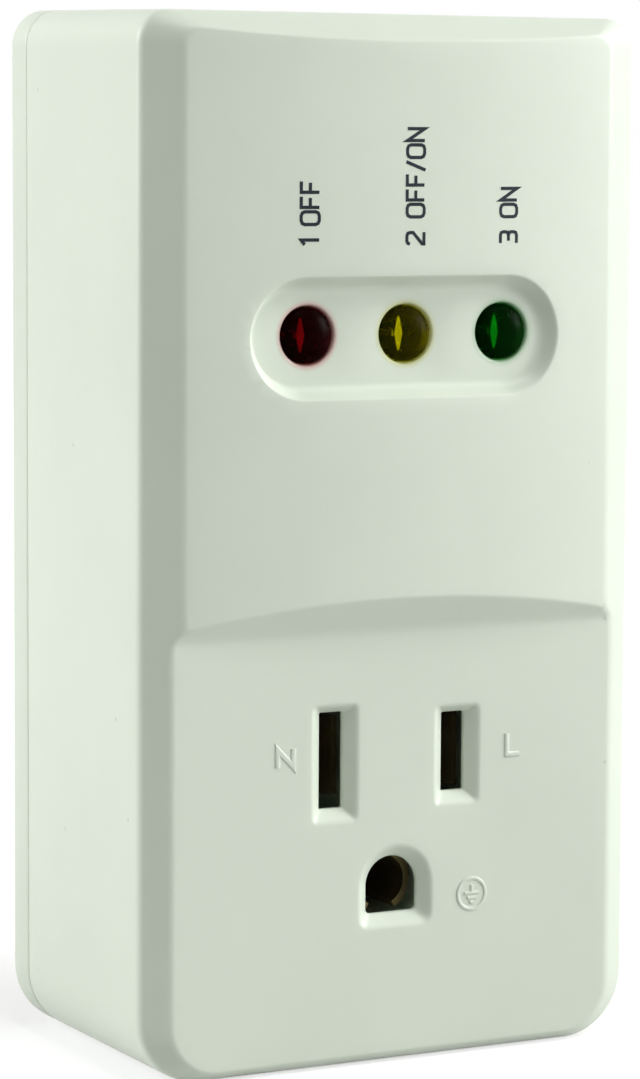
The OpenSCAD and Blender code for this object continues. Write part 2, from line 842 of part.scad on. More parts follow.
module blade_clamp() {
    color("dimgray") seated() difference() {
        union() {
            box([-clamp_half, clamp_d, clamp_low], [clamp_half, floor_d, clamp_high]);
            box([-clamp_half - clamp_ear, clamp_d, clamp_screw_z - clamp_ear_h / 2],
                [clamp_half + clamp_ear, clamp_d + clamp_ear_t, clamp_screw_z + clamp_ear_h / 2]);
        }
        for (x = [neutral_x, line_x]) {
            box([x - blade_t / 2, floor_d - shoulder_h, plug_z - shoulder_w / 2],
                [x + blade_t / 2, floor_d + over, plug_z + shoulder_w / 2]);
            box([x - blade_t / 2, clamp_d - over, plug_z - blade_tail_w / 2],
                [x + blade_t / 2, floor_d + over, plug_z + blade_tail_w / 2]);
        }
        rod(0, pin_z, floor_d - shoulder_h, floor_d + over, pin_collar_r);
        rod(0, pin_z, clamp_d - over, floor_d + over, pin_shank_r);
        for (s = [-1, 1])
            rod(s * clamp_screw_x, clamp_screw_z, clamp_d - over, clamp_d + clamp_ear_t + over,
                clamp_screw_r + seat);
    }
}

// The clamp's screws come from the front, so each is a screw turned about
module clamp_screws() {
    color("silver") seated()
        for (s = [-1, 1])
            translate([s * clamp_screw_x, clamp_d, clamp_screw_z]) rotate([0, 0, 180])
                screw(0, 0, 0, clamp_screw_r, clamp_screw_len, clamp_head_r, clamp_head_h);
}

// The relay's own frame
module on_relay() {
    seated() translate([relay_x, board_back, relay_z]) children();
}

// A plate between two places in u and two in w, centred on the relay's width
module iron(u_low, u_high, w_low, w_high, b) {
    box([u_low, w_low, (relay_b - b) / 2], [u_high, w_high, (relay_b + b) / 2]);
}

// What moves with the armature, turned open about the yoke's top edge
module on_armature() {
    on_relay() translate([yoke_u, pivot_w, 0]) rotate([0, 0, armature_angle]) children();
}

module relay_base() {
    color("black") on_relay() difference() {
        box([relay_t, 0, relay_t], [relay_w - relay_t, relay_base_h, relay_b - relay_t]);
        for (p = coil_pins)
            translate([p[0], 0, p[1]]) cube([pin_b, 2 * (relay_base_h + over), pin_b], center = true);
        iron(yoke_u, yoke_u + iron_t, -over, relay_base_h + over, pin_b);
        iron(fixed_u, fixed_u + fixed_t, -over, relay_base_h + over, fixed_b);
    }
}

module relay_cover() {
    color("royalblue") on_relay() difference() {
        box([0, 0, 0], [relay_w, relay_h, relay_b]);
        box([relay_t, -over, relay_t], [relay_w - relay_t, relay_h - relay_t, relay_b - relay_t]);
    }
}

module relay_yoke() {
    color("lightgray") on_relay() difference() {
        union() {
            iron(yoke_u, yoke_u + iron_t, relay_base_h, pivot_w, iron_b);
            iron(yoke_u, yoke_u + yoke_len, relay_base_h, relay_base_h + iron_t, iron_b);
        }
        rod(core_u, relay_b / 2, 0, pivot_w, core_r);
    }
}

module relay_core() {
    color("lightgray") on_relay() {
        rod(core_u, relay_b / 2, relay_base_h, pole_w, core_r);
        rod(core_u, relay_b / 2, pole_w - pole_t, pole_w, pole_r);
    }
}

module relay_bobbin() {
    color("ivory") on_relay() difference() {
        union() {
            rod(core_u, relay_b / 2, bobbin_low, bobbin_low + bobbin_t, bobbin_r);
            rod(core_u, relay_b / 2, bobbin_high - bobbin_t, bobbin_high, bobbin_r);
            rod(core_u, relay_b / 2, bobbin_low, bobbin_high, bobbin_tube_r);
        }
        rod(core_u, relay_b / 2, 0, pivot_w, core_r);
    }
}

module relay_coil() {
    color("sienna") on_relay() difference() {
        rod(core_u, relay_b / 2, bobbin_low + bobbin_t, bobbin_high - bobbin_t, winding_r);
        rod(core_u, relay_b / 2, 0, pivot_w, bobbin_tube_r);
    }
}

module relay_armature() {
    color("lightgray") on_armature() iron(0, armature_len, 0, iron_t, iron_b);
}

// The leaf lies on the armature and turns with it. Its leg lies flat on the yoke when open.
module relay_contact_spring() {
    color("goldenrod") {
        on_armature() difference() {
            union() {
                iron(-spring_t, spring_end - yoke_u, iron_t, iron_t + spring_t, spring_b);
                iron(-spring_t, 0, 0, iron_t, spring_b);
            }
            rod(contact_u - yoke_u, relay_b / 2, 0, 2 * iron_t, rivet_r / 2);
        }
        on_relay() iron(yoke_u - spring_t, yoke_u, pivot_w - spring_leg, pivot_w + spring_root, spring_b);
    }
}

module relay_moving_contact() {
    color("silver") on_armature() {
        rod(contact_u - yoke_u, relay_b / 2, iron_t - rivet_h, iron_t, rivet_r);
        rod(contact_u - yoke_u, relay_b / 2, iron_t - rivet_h, iron_t + 2 * spring_t, rivet_r / 2);
    }
}

module relay_fixed_contact() {
    color("silver") on_relay() {
        rod(contact_u, relay_b / 2, fixed_w - fixed_h, fixed_w, rivet_r);
        iron(contact_u - fixed_b / 2, fixed_u + fixed_t, fixed_w - fixed_h - fixed_t,
             fixed_w - fixed_h, fixed_b);
        iron(fixed_u, fixed_u + fixed_t, 0, fixed_w - fixed_h, fixed_b);
        iron(fixed_u, fixed_u + fixed_t, -board_t - lead_tail, 0, pin_b);
    }
}

module relay_terminals() {
    color("silver") on_relay() {
        for (p = coil_pins)
            box([p[0] - pin_b / 2, -board_t - lead_tail, p[1] - pin_b / 2],
                [p[0] + pin_b / 2, relay_base_h, p[1] + pin_b / 2]);
        iron(yoke_u, yoke_u + iron_t, -board_t - lead_tail, relay_base_h, pin_b);
    }
}

module film_capacitor() {
    color("firebrick") seated() {
        translate([film_at[0], board_back, film_at[1]]) cube(film_size);
        legs(film_pins, board_back);
    }
}

module electrolytic_capacitor() {
    color("midnightblue") seated() {
        rod(can_at[0], can_at[1], board_back, board_back + can_h, can_r);
        legs(can_pins, board_back);
    }
}

// The varistor is bent down flat over the board
module varistor() {
    color("steelblue") seated() {
        rod(disc_at[0], disc_at[1], board_back + disc_lift, board_back + disc_lift + disc_t, disc_r);
        legs(disc_pins, board_back + disc_lift + disc_t / 2);
    }
}

// A round body that lies along X above the board, with its two bent leads
module axial(at, size) {
    middle = board_back + part_lift + size[0];
    translate([at[0] - size[1] / 2, middle, at[1]]) rotate([0, 90, 0])
        cylinder(h = size[1], r = size[0]);
    translate([at[0] - size[2] - bent_r, middle, at[1]]) rotate([0, 90, 0])
        cylinder(h = 2 * (size[2] + bent_r), r = bent_r);
    for (s = [-1, 1])
        rod(at[0] + s * size[2], at[1], board_d - lead_tail, middle, bent_r);
}

module rectifier_diodes() {
    color("dimgray") seated()
        for (p = diode_ats) axial(p, diode_size);
}

module resistors() {
    color("tan") seated()
        for (p = resistor_ats) axial(p, resistor_size);
}

module control_chip() {
    color("black") seated() {
        translate([chip_at[0] - chip_size[0] / 2, board_back + chip_lift, chip_at[1] - chip_size[2] / 2])
            cube(chip_size);
        legs(chip_pins, board_back + chip_lift + chip_size[1] / 2);
        for (p = chip_pins)
            translate([(p[0] + chip_at[0]) / 2, board_back + chip_lift + chip_size[1] / 2, p[1]])
                cube([chip_row / 2 + chip_leg_w, chip_leg_w, chip_leg_w], center = true);
    }
}

// The wires lie behind the board: neutral from blade to slot, supply from the line blade to
// the board, load from the board to the line slot, ground from pin to ground contact
module neutral_wire() {
    color("white") seated()
        wire([[neutral_x, tail_end, slot_z],
              [neutral_x, tail_end + wire_bow, slot_z],
              [neutral_x, tail_end + wire_bow, slot_z + wire_bow],
              [neutral_x, board_back + wire_bow, clamp_low + wire_dia],
              [neutral_x, board_back + wire_rise, plug_z],
              [neutral_x, blade_tail_end, plug_z]]);
}

module supply_wire() {
    color("black") seated()
        wire([[line_x, blade_tail_end, plug_z],
              [line_x, board_back + wire_rise, plug_z],
              [line_x, board_back + wire_rise, plug_z + wire_bow],
              [line_x, board_back, plug_z + wire_bow]]);
}

module load_wire() {
    color("black") seated()
        wire([[line_x, tail_end, slot_z],
              [line_x, tail_end + wire_bow, slot_z],
              [line_x, board_back + 2 * wire_bow, board_low],
              [line_x, board_back + wire_bow, board_low + wire_edge],
              [line_x, board_back, board_low + wire_edge]]);
}

module ground_wire() {
    color("green") seated()
        wire([[0, pin_shank_end, pin_z],
              [0, carrier_back, pin_z],
              [0, carrier_back, clamp_low - wire_dia],
              [0, tail_end + wire_bow, (pin_z + ground_z) / 2],
              [0, tail_end + wire_bow, strap_z + strip_t / 2],
              [0, tail_end, strap_z + strip_t / 2]]);
}

front_cover();
back_cover();
cover_screws();
circuit_board();
board_screws();
led_red();
led_yellow();
led_green();
led_leads();
neutral_contact();
line_contact();
ground_contact();
contact_carrier();
carrier_screws();
neutral_blade();
line_blade();
ground_pin();
blade_clamp();
clamp_screws();
relay_base();
relay_cover();
relay_yoke();
relay_core();
relay_bobbin();
relay_coil();
relay_armature();
relay_contact_spring();
relay_moving_contact();
relay_fixed_contact();
relay_terminals();
film_capacitor();
electrolytic_capacitor();
varistor();
rectifier_diodes();
resistors();
control_chip();
neutral_wire();
supply_wire();
load_wire();
ground_wire();
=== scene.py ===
"""Looks of the plug-in voltage protector: shells, lamps, marks, materials, light and camera.

Sizes are in millimetres in the CAD's depth frame: x to the right, d from the crown of the front
towards the wall, z up from the foot. at() turns them into Blender's metres.
"""

import json
import math

import bmesh
import bpy
from mathutils import Matrix, Vector
from mathutils.geometry import delaunay_2d_cdt

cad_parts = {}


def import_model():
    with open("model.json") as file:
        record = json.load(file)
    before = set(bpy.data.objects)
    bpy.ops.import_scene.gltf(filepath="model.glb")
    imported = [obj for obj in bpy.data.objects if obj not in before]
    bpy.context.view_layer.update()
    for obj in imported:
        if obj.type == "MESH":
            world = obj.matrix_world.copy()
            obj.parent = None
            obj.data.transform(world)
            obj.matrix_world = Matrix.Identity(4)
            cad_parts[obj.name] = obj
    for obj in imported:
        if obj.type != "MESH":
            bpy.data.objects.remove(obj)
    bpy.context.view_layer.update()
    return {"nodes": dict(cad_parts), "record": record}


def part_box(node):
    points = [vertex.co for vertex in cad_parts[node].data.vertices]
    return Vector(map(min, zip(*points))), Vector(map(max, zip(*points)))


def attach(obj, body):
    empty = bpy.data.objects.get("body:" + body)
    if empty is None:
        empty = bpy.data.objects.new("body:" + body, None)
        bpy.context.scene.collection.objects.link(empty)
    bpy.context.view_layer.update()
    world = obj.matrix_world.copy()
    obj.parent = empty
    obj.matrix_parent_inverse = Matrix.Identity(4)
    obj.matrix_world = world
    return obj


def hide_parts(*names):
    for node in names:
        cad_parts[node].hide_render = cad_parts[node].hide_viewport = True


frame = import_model()

# Sizes that the CAD's boxes give

MM = 0.001
FRONT_LOW, FRONT_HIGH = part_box("front_cover")
BACK_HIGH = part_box("back_cover")[1]
FRONT_Y = FRONT_LOW[1] / MM
HALF_W = FRONT_HIGH[0] / MM
SEAM_D = (FRONT_HIGH[1] - FRONT_LOW[1]) / MM
BODY_D = (BACK_HIGH[1] - FRONT_LOW[1]) / MM
TOP_Z = BACK_HIGH[2] / MM

# Sizes repeated from the part's source

BEVEL_IN, BEVEL_TOP, BEVEL_FOOT = 3.6, 2.4, 2.1
WALL, CAP_D = 2.2, 3.8
ARCH_UP, SLOPE_H = 14.9, 3.1
SLOT_Z, SLOT_X, GROUND_DROP = 28.4, 6.35, 11.9
SLOT_W, NEUTRAL_H, LINE_H, HOLE_W = 2.3, 8.8, 7.3, 5.2
MOUTH_D, MOUTH_FLARE = 1.0, 1.1
LAMP_Z = SLOT_Z + 38.6
LAMP_PITCH, LAMP_X, LAMP_R, LAMP_HOLE_R = 10.0, 0.4, 2.5, 2.6
FLANGE_W, FLANGE_H = 0.4, 1.0
PLUG_Z, BLADE_W, BLADE_T, PIN_SEAT_R = 60.0, 6.35, 1.5, 2.625
BLOCK_D, BLOCK_HALF, BLOCK_LOW, BLOCK_HIGH = 18.0, 11.75, 10.5, 38.6
POCKET_HALF, POCKET_H, GROUND_POCKET_R = 3.9, 5.6, 4.3
POST_X, POST_LOW, BOSS_LEN = 18.0, 8.6, 5.0
HEAD_R, HEAD_D, SHAFT_R, BOSS_R = 3.1, 26.9, 1.5, 4.2
GROUND_Z = SLOT_Z - GROUND_DROP
PIN_Z = PLUG_Z - GROUND_DROP
LAMP_XS = [LAMP_X + i * LAMP_PITCH for i in (-1, 0, 1)]

# Sizes that the visible pieces have in closer detail than the CAD's

TOP_RISE, TOP_R, FOOT_R, BACK_R = 0.6, 3.0, 6.2, 1.0
CROWN_SAG, BEVEL_D, PANEL_STEP = 1.4, 2.1, 2.0
HEIGHT = TOP_Z - TOP_RISE
EDGE_D = CROWN_SAG + BEVEL_D
# A slot flares less above than at its other sides, and widens behind its throat by the undercut
MOUTH_TOP, UNDERCUT = 0.7, 0.45
LAMP_NOSE = 0.9
WINDOW_D, WINDOW_W, WINDOW_H, WINDOW_SLOPE = 1.7, 31.6, 10.9, 1.25
# The window's left wall is steeper than its right one by the lean
WINDOW_X, WINDOW_Z, WINDOW_LEAN = 0.05, LAMP_Z - 0.25, 0.45

# Printed marks stand this far in front of the face, and the face this far behind the CAD's
PRINT_LIFT = 0.02
FACE_SHY = 0.04


def at(x, d, z):
    return Vector((x * MM, (d + FRONT_Y) * MM, z * MM))


# Shape of the front face

FACE_HALF = HALF_W - BEVEL_IN
CROWN_R = (FACE_HALF ** 2 + CROWN_SAG ** 2) / (2 * CROWN_SAG)
ARCH_TOP = SLOT_Z + ARCH_UP
ARCH_FOOT = ARCH_TOP - SLOPE_H
RIDGE_BLEND = 0.12
VALLEY_BLEND = 0.30


def crown(x):
    """Depth of the crowned face at x."""
    return CROWN_R - math.sqrt(CROWN_R ** 2 - x * x) + FACE_SHY


def smooth_max(a, b, k):
    """The greater number, with a soft change where the two differ by less than k."""
    gap = abs(a - b)
    return max(a, b) + (max(k - gap, 0) ** 2) / (4 * k)


def smooth_min(a, b, k):
    return -smooth_max(-a, -b, k)


def face_depth(x, z):
    """Depth of the front face: the crown above, the slope, and the flat panel below."""
    slope = PANEL_STEP * (ARCH_TOP - z) / SLOPE_H
    return smooth_max(crown(x), smooth_min(slope, PANEL_STEP, VALLEY_BLEND), RIDGE_BLEND)


# Outlines: lists of (x, z), always anticlockwise seen from the front

# Steps along the body's sides, top and corners, and the least radius of an inset corner
SIDE_STEPS, TOP_STEPS, CORNER_STEPS, LEAST_R = 150, 60, 14, 0.4
# Steps along the window's round ends and its long sides
END_STEPS, LONG_STEPS = 40, 44
# Steps along the ground opening's arch, and along each of its other edges and corners
ARCH_STEPS, EDGE_STEPS = 36, 8


def arc(cx, cz, r, start, end, steps):
    """Points on an arc, without its last one."""
    turn = math.radians(end - start) / steps
    first = math.radians(start)
    turns = [first + i * turn for i in range(steps)]
    return [(cx + r * math.cos(a), cz + r * math.sin(a)) for a in turns]


def run(a, b, steps):
    return [(a[0] + (b[0] - a[0]) * i / steps, a[1] + (b[1] - a[1]) * i / steps) for i in range(steps)]


def body_outline(side, top, foot, top_r, foot_r):
    """The body's outline with round corners at three insets."""
    w, low, high = HALF_W - side, foot, HEIGHT - top
    corners = [(w - foot_r, low + foot_r, foot_r, -90), (w - top_r, high - top_r, top_r, 0),
               (top_r - w, high - top_r, top_r, 90), (foot_r - w, low + foot_r, foot_r, 180)]
    points = []
    for i, (cx, cz, r, start) in enumerate(corners):
        points += arc(cx, cz, r, start, start + 90, CORNER_STEPS)
        nx, nz, nr, nstart = corners[(i + 1) % 4]
        end = math.radians(start + 90)
        begin = (cx + r * math.cos(end), cz + r * math.sin(end))
        goal = (nx + nr * math.cos(math.radians(nstart)), nz + nr * math.sin(math.radians(nstart)))
        points += run(begin, goal, SIDE_STEPS if i % 2 == 0 else TOP_STEPS)
    return points


def even_outline(inset, rise=0.0):
    """The same with one inset all round; the top lies higher by the rise."""
    top_r = max(TOP_R - inset + rise / 2, LEAST_R)
    return body_outline(inset, inset - rise, inset, top_r, max(FOOT_R - inset, LEAST_R))


def side_outline(inset, depth):
    """The outer wall's outline at a depth behind the bevel, where the top rises to the wall."""
    return even_outline(inset, TOP_RISE * (depth - SIDE_D) / (BODY_D - SIDE_D))


def circle(cx, cz, r, steps=64):
    return arc(cx, cz, r, 0, 360, steps)


def rounded_box(cx, cz, w, h, r, steps=6):
    """A rectangle of half sizes w and h with round corners."""
    corners = [(cx + w - r, cz - h + r, -90), (cx + w - r, cz + h - r, 0),
               (cx - w + r, cz + h - r, 90), (cx - w + r, cz - h + r, 180)]
    points = []
    for i, (x, z, start) in enumerate(corners):
        points += arc(x, z, r, start, start + 90, steps)
        end = math.radians(start + 90)
        nx, nz, nstart = corners[(i + 1) % 4]
        begin = (x + r * math.cos(end), z + r * math.sin(end))
        goal = (nx + r * math.cos(math.radians(nstart)), nz + r * math.sin(math.radians(nstart)))
        points += run(begin, goal, steps)
    return points


def stadium(cx, cz, half_w, half_h):
    """A slot with round ends."""
    c = half_w - half_h
    right = arc(cx + c, cz, half_h, -90, 90, END_STEPS)
    left = arc(cx - c, cz, half_h, 90, 270, END_STEPS)
    top = run((cx + c, cz + half_h), (cx - c, cz + half_h), LONG_STEPS)
    foot = run((cx - c, cz - half_h), (cx + c, cz - half_h), LONG_STEPS)
    return right + top + left + foot


def ground_outline(grow, r=0.5):
    """A half circle over a flat foot, grown to all sides."""
    w, n = HOLE_W / 2 + grow, EDGE_STEPS
    foot = GROUND_Z - w
    arch = arc(0, GROUND_Z, w, 0, 180, ARCH_STEPS)
    left = run((-w, GROUND_Z), (-w, foot + r), n) + arc(-w + r, foot + r, r, 180, 270, n)
    base = run((r - w, foot), (w - r, foot), n)
    right = arc(w - r, foot + r, r, -90, 0, n) + run((w, foot + r), (w, GROUND_Z), n)
    return arch + left + base + right


# Mesh building

SHARP_ANGLE = math.radians(35)
# Points closer than these are one: in the finished mesh in metres, and in a fill in millimetres
MERGE_DIST, FILL_DIST = 1e-8, 1e-7


class Builder:
    """Collects rings of points and joins them with strips and fills."""

    def __init__(self):
        self.verts, self.faces = [], []

    def ring(self, points):
        first = len(self.verts)
        self.verts += points
        return list(range(first, first + len(points)))

    def loop(self, outline, depth):
        """A ring from an outline; depth is a number or a function of x and z."""
        level = depth if callable(depth) else (lambda x, z: depth)
        return self.ring([(x, level(x, z), z) for x, z in outline])

    def strip(self, a, b):
        n = len(a)
        for i in range(n):
            j = (i + 1) % n
            self.faces.append((a[i], a[j], b[j], b[i]))

    def strips(self, rings):
        for a, b in zip(rings, rings[1:]):
            self.strip(a, b)

    def fill(self, outer, holes, depth, extra=()):
        """Triangles between an outer ring and holes; extra points are laid at depth(x, z)."""
        level = depth if callable(depth) else (lambda x, z: depth)
        loops = [outer] + list(holes)
        ids = [i for loop in loops for i in loop]
        flat = [Vector((self.verts[i][0], self.verts[i][2])) for i in ids]
        edges, start = [], 0
        for loop in loops:
            n = len(loop)
            edges += [(start + k, start + (k + 1) % n) for k in range(n)]
            start += n
        inside = [p for p in extra if self._holds(outer, holes, p)]
        ids += self.ring([(x, level(x, z), z) for x, z in inside])
        flat += [Vector(p) for p in inside]
        out_verts, _, out_faces, origins, _, _ = delaunay_2d_cdt(flat, edges, [], 0, FILL_DIST)
        names = [ids[o[0]] if o else None for o in origins]
        for face in out_faces:
            middle = sum((out_verts[k] for k in face), Vector((0, 0))) / len(face)
            if self._holds(outer, holes, middle) and None not in [names[k] for k in face]:
                self.faces.append(tuple(names[k] for k in face))

    def _holds(self, outer, holes, p):
        """Whether p lies within the outer ring and outside the holes."""
        return self._within(outer, p) and not any(self._within(h, p) for h in holes)

    def _within(self, loop, p):
        """Whether a line from p to the right crosses the loop an odd number of times."""
        inside = False
        pts = [(self.verts[i][0], self.verts[i][2]) for i in loop]
        for (x0, z0), (x1, z1) in zip(pts, pts[1:] + pts[:1]):
            if (z0 > p[1]) != (z1 > p[1]) and p[0] < x0 + (p[1] - z0) * (x1 - x0) / (z1 - z0):
                inside = not inside
        return inside

    def make(self, name, body, *nodes, slot):
        """The finished piece: it rides on a body and takes the place of the nodes."""
        mesh = bpy.data.meshes.new(name)
        mesh.from_pydata([at(*v) for v in self.verts], [], self.faces)
        mesh.validate()
        obj = bpy.data.objects.new(name, mesh)
        bpy.context.scene.collection.objects.link(obj)
        turn_outwards(mesh)
        mesh.shade_smooth()
        mesh.set_sharp_from_angle(angle=SHARP_ANGLE)
        if nodes:
            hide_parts(*nodes)
        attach(obj, body)
        return obj


def turn_outwards(mesh):
    """Joins double points and turns every face outwards."""
    bm = bmesh.new()
    bm.from_mesh(mesh)
    bmesh.ops.remove_doubles(bm, verts=bm.verts, dist=MERGE_DIST)
    bmesh.ops.recalc_face_normals(bm, faces=bm.faces)
    bm.to_mesh(mesh)
    bm.free()


def bend(a, corner, b, steps):
    """Points on a soft corner from a to b, without its ends."""
    points = []
    for i in range(1, steps):
        t = i / steps
        shares = ((a, (1 - t) ** 2), (corner, 2 * t * (1 - t)), (b, t * t))
        points.append(tuple(sum(p[k] * share for p, share in shares) for k in range(3)))
    return points


# Front cover

FACE_FILLET, EDGE_FILLET, LIP_FILLET = 0.55, 0.6, 0.35
SIDE_D = EDGE_D + EDGE_FILLET
# A narrow bevel stays straight between these shares of its width
STRAIGHT_FROM, STRAIGHT_TO = 0.35, 0.4
# Steps of the soft corners, and halvings that find where the bevel meets the face
FILLET_STEPS, LIP_STEPS, KNEE_STEPS, HALVINGS = 6, 5, 4, 30
# The least width of a flare that is told from none
LEAST_FLARE = 1e-6
# Corner radii of the bevel's outline where it is carried on to the crown's depth
BEVEL_TOP_R, BEVEL_FOOT_R = 0.8, 2.9
# Shares of a flare's slope where its lip ends and its knee starts, and the knee's depth
LIP_SHARE, KNEE_SHARE, KNEE_D = 0.25, 0.85, 0.25
# Inset and share of the window's depth, from its lip to its floor
WINDOW_PROFILE = [(-0.12, 0.0), (-0.03, 0.015), (0.05, 0.07), (0.14, 0.16), (0.30, 0.34),
                  (0.50, 0.57), (0.66, 0.73), (0.82, 0.85), (1.02, 0.94), (1.20, 0.985),
                  (WINDOW_SLOPE + 0.15, 1.0)]
# Radius and depth of the soft mouth of a lamp's hole
LAMP_MOUTH = [(2.95, 0.0), (2.84, 0.02), (2.75, 0.07), (2.68, 0.16), (2.63, 0.28), (LAMP_HOLE_R, 0.42)]
# Round corners of the slots' mouths, throats and pockets, of their block and of the ground mouth
MOUTH_R, THROAT_R, POCKET_R, BLOCK_R, GROUND_MOUTH_R = 0.5, 0.15, 0.2, 0.5, 0.9
# Steps of the net of points on the face; it leaves out a band round the slope
NET_X, NET_Z, BAND_LOW, BAND_HIGH = 1.2, 1.5, 2.6, 1.2
# In the band, columns of points stand at these heights over the ridge and, clear of it, the foot
ARCH_NET_X, RIDGE_CLEAR = 0.45, 1.0
RIDGE_NET = (1.1, 0.75, 0.48, 0.3, 0.18, 0.09, 0.0, -0.09, -0.18, -0.3, -0.48, -0.75)
VALLEY_NET = (1.1, 0.8, 0.55, 0.35, 0.17, 0.0, -0.17, -0.35, -0.55, -0.8, -1.2, -1.8)
# The seam's groove: where its round starts before the seam, and its rings of inset and depth
SEAM_ROUND = 0.28
SEAM_RINGS = ((0, 0.0), (0.03, 0.14), (0.10, 0.23), (0.22, SEAM_ROUND))
WALL_DEPTHS = (8.0, 14.0, 20.0)
# The cap's back starts at an inset from the walls, with its own corner radii
CAP_INSET, CAP_FILLET, CAP_TOP_R, CAP_FOOT_R = 5.0, 1.2, 0.5, 3.0


def rim_rings(b):
    """Rings from the face's edge over the bevel to the side wall, innermost first."""
    outer = body_outline(0, 0, 0, TOP_R, FOOT_R)
    reach = EDGE_D / BEVEL_D
    ext = body_outline(BEVEL_IN * reach, BEVEL_TOP, BEVEL_FOOT, BEVEL_TOP_R, BEVEL_FOOT_R)
    columns = []
    for (x0, z0), (x1, z1) in zip(outer, ext):
        def point(s):
            return (x0 + (x1 - x0) * s, EDGE_D * (1 - s), z0 + (z1 - z0) * s)
        low, high = 0.0, 1.0
        for _ in range(HALVINGS):
            mid = (low + high) / 2
            x, d, z = point(mid)
            low, high = (mid, high) if d > face_depth(x, z) else (low, mid)
        length = math.dist(point(0), point(1))
        edge = point(low)
        x, _, z = point(low + FACE_FILLET / length)
        face_end = (x, face_depth(x, z), z)
        bevel_end = point(max(low - FACE_FILLET / length, STRAIGHT_TO * low))
        bevel_start = point(min(EDGE_FILLET / length, STRAIGHT_FROM * low))
        side_start = (x0, EDGE_D + EDGE_FILLET, z0)
        inner = bend(face_end, edge, bevel_end, FILLET_STEPS)
        outward = bend(bevel_start, point(0), side_start, FILLET_STEPS)
        columns.append([face_end] + inner + [bevel_end, bevel_start] + outward + [side_start])
    return [b.ring(row) for row in zip(*columns)]


def funnel(b, mouth, throat):
    """Rings of a flared mouth: a soft lip on the face, a slope, a straight throat to the cap."""
    outer, start, end, soft = [], [], [], []
    for (mx, mz), (tx, tz) in zip(mouth, throat):
        ux, uz = tx - mx, tz - mz
        size = max(math.hypot(ux, uz), LEAST_FLARE)
        k = LIP_FILLET / size
        level = face_depth(mx, mz)
        outer.append((mx - ux * k, face_depth(mx - ux * k, mz - uz * k), mz - uz * k))
        start.append((mx, level, mz))
        end.append((mx + ux * LIP_SHARE, level + MOUTH_D * LIP_SHARE, mz + uz * LIP_SHARE))
        soft.append((tx, level + MOUTH_D, tz))
    rings = [b.ring(outer)]
    bends = [bend(o, s, e, LIP_STEPS) for o, s, e in zip(outer, start, end)]
    rings += [b.ring(row) for row in zip(*bends)]
    rings.append(b.ring(end))
    knee = [tuple(e[k] + (s[k] - e[k]) * KNEE_SHARE for k in range(3)) for e, s in zip(end, soft)]
    under = [(s[0], s[1] + KNEE_D, s[2]) for s in soft]
    knees = [bend(a, s, u, KNEE_STEPS) for a, s, u in zip(knee, soft, under)]
    rings.append(b.ring(knee))
    rings += [b.ring(row) for row in zip(*knees)]
    rings.append(b.ring(under))
    return rings


def window_rings(b):
    """Rings of the lamps' window from its lip to its floor."""
    half_w, half_h = WINDOW_W / 2, WINDOW_H / 2
    rings = []
    for inset, share in WINDOW_PROFILE:
        def level(x, z, s=share):
            return face_depth(x, z) * (1 - s) + (WINDOW_D + FACE_SHY) * s
        middle = WINDOW_X - WINDOW_LEAN * inset
        rings.append(b.loop(stadium(middle, WINDOW_Z, half_w - inset, half_h - inset), level))
    return rings


def lamp_hole_rings(b, x):
    """Rings of a lamp's hole from the window's floor to the cap's back."""
    rings = [b.loop(circle(x, LAMP_Z, r), WINDOW_D + FACE_SHY + d) for r, d in LAMP_MOUTH]
    rings.append(b.loop(circle(x, LAMP_Z, LAMP_HOLE_R), CAP_D))
    return rings


def face_points():
    """Points that carry the crown, the arch and the slope between the rings."""
    points = []
    z = NET_Z
    while z < HEIGHT:
        shift = NET_X / 2 if int(z / NET_Z) % 2 else 0
        x = -HALF_W + shift
        near = abs(z - ARCH_FOOT) < BAND_LOW or ARCH_FOOT < z < ARCH_TOP + BAND_HIGH
        while x < HALF_W and not near:
            points.append((x, z))
            x += NET_X
        z += NET_Z
    x = -HALF_W
    while x < HALF_W:
        arch = ARCH_TOP - SLOPE_H * (crown(x) - FACE_SHY) / PANEL_STEP
        points += [(x, arch + off) for off in RIDGE_NET]
        points += [(x, ARCH_FOOT + off) for off in VALLEY_NET if ARCH_FOOT + off < arch - RIDGE_CLEAR]
        x += ARCH_NET_X
    return points


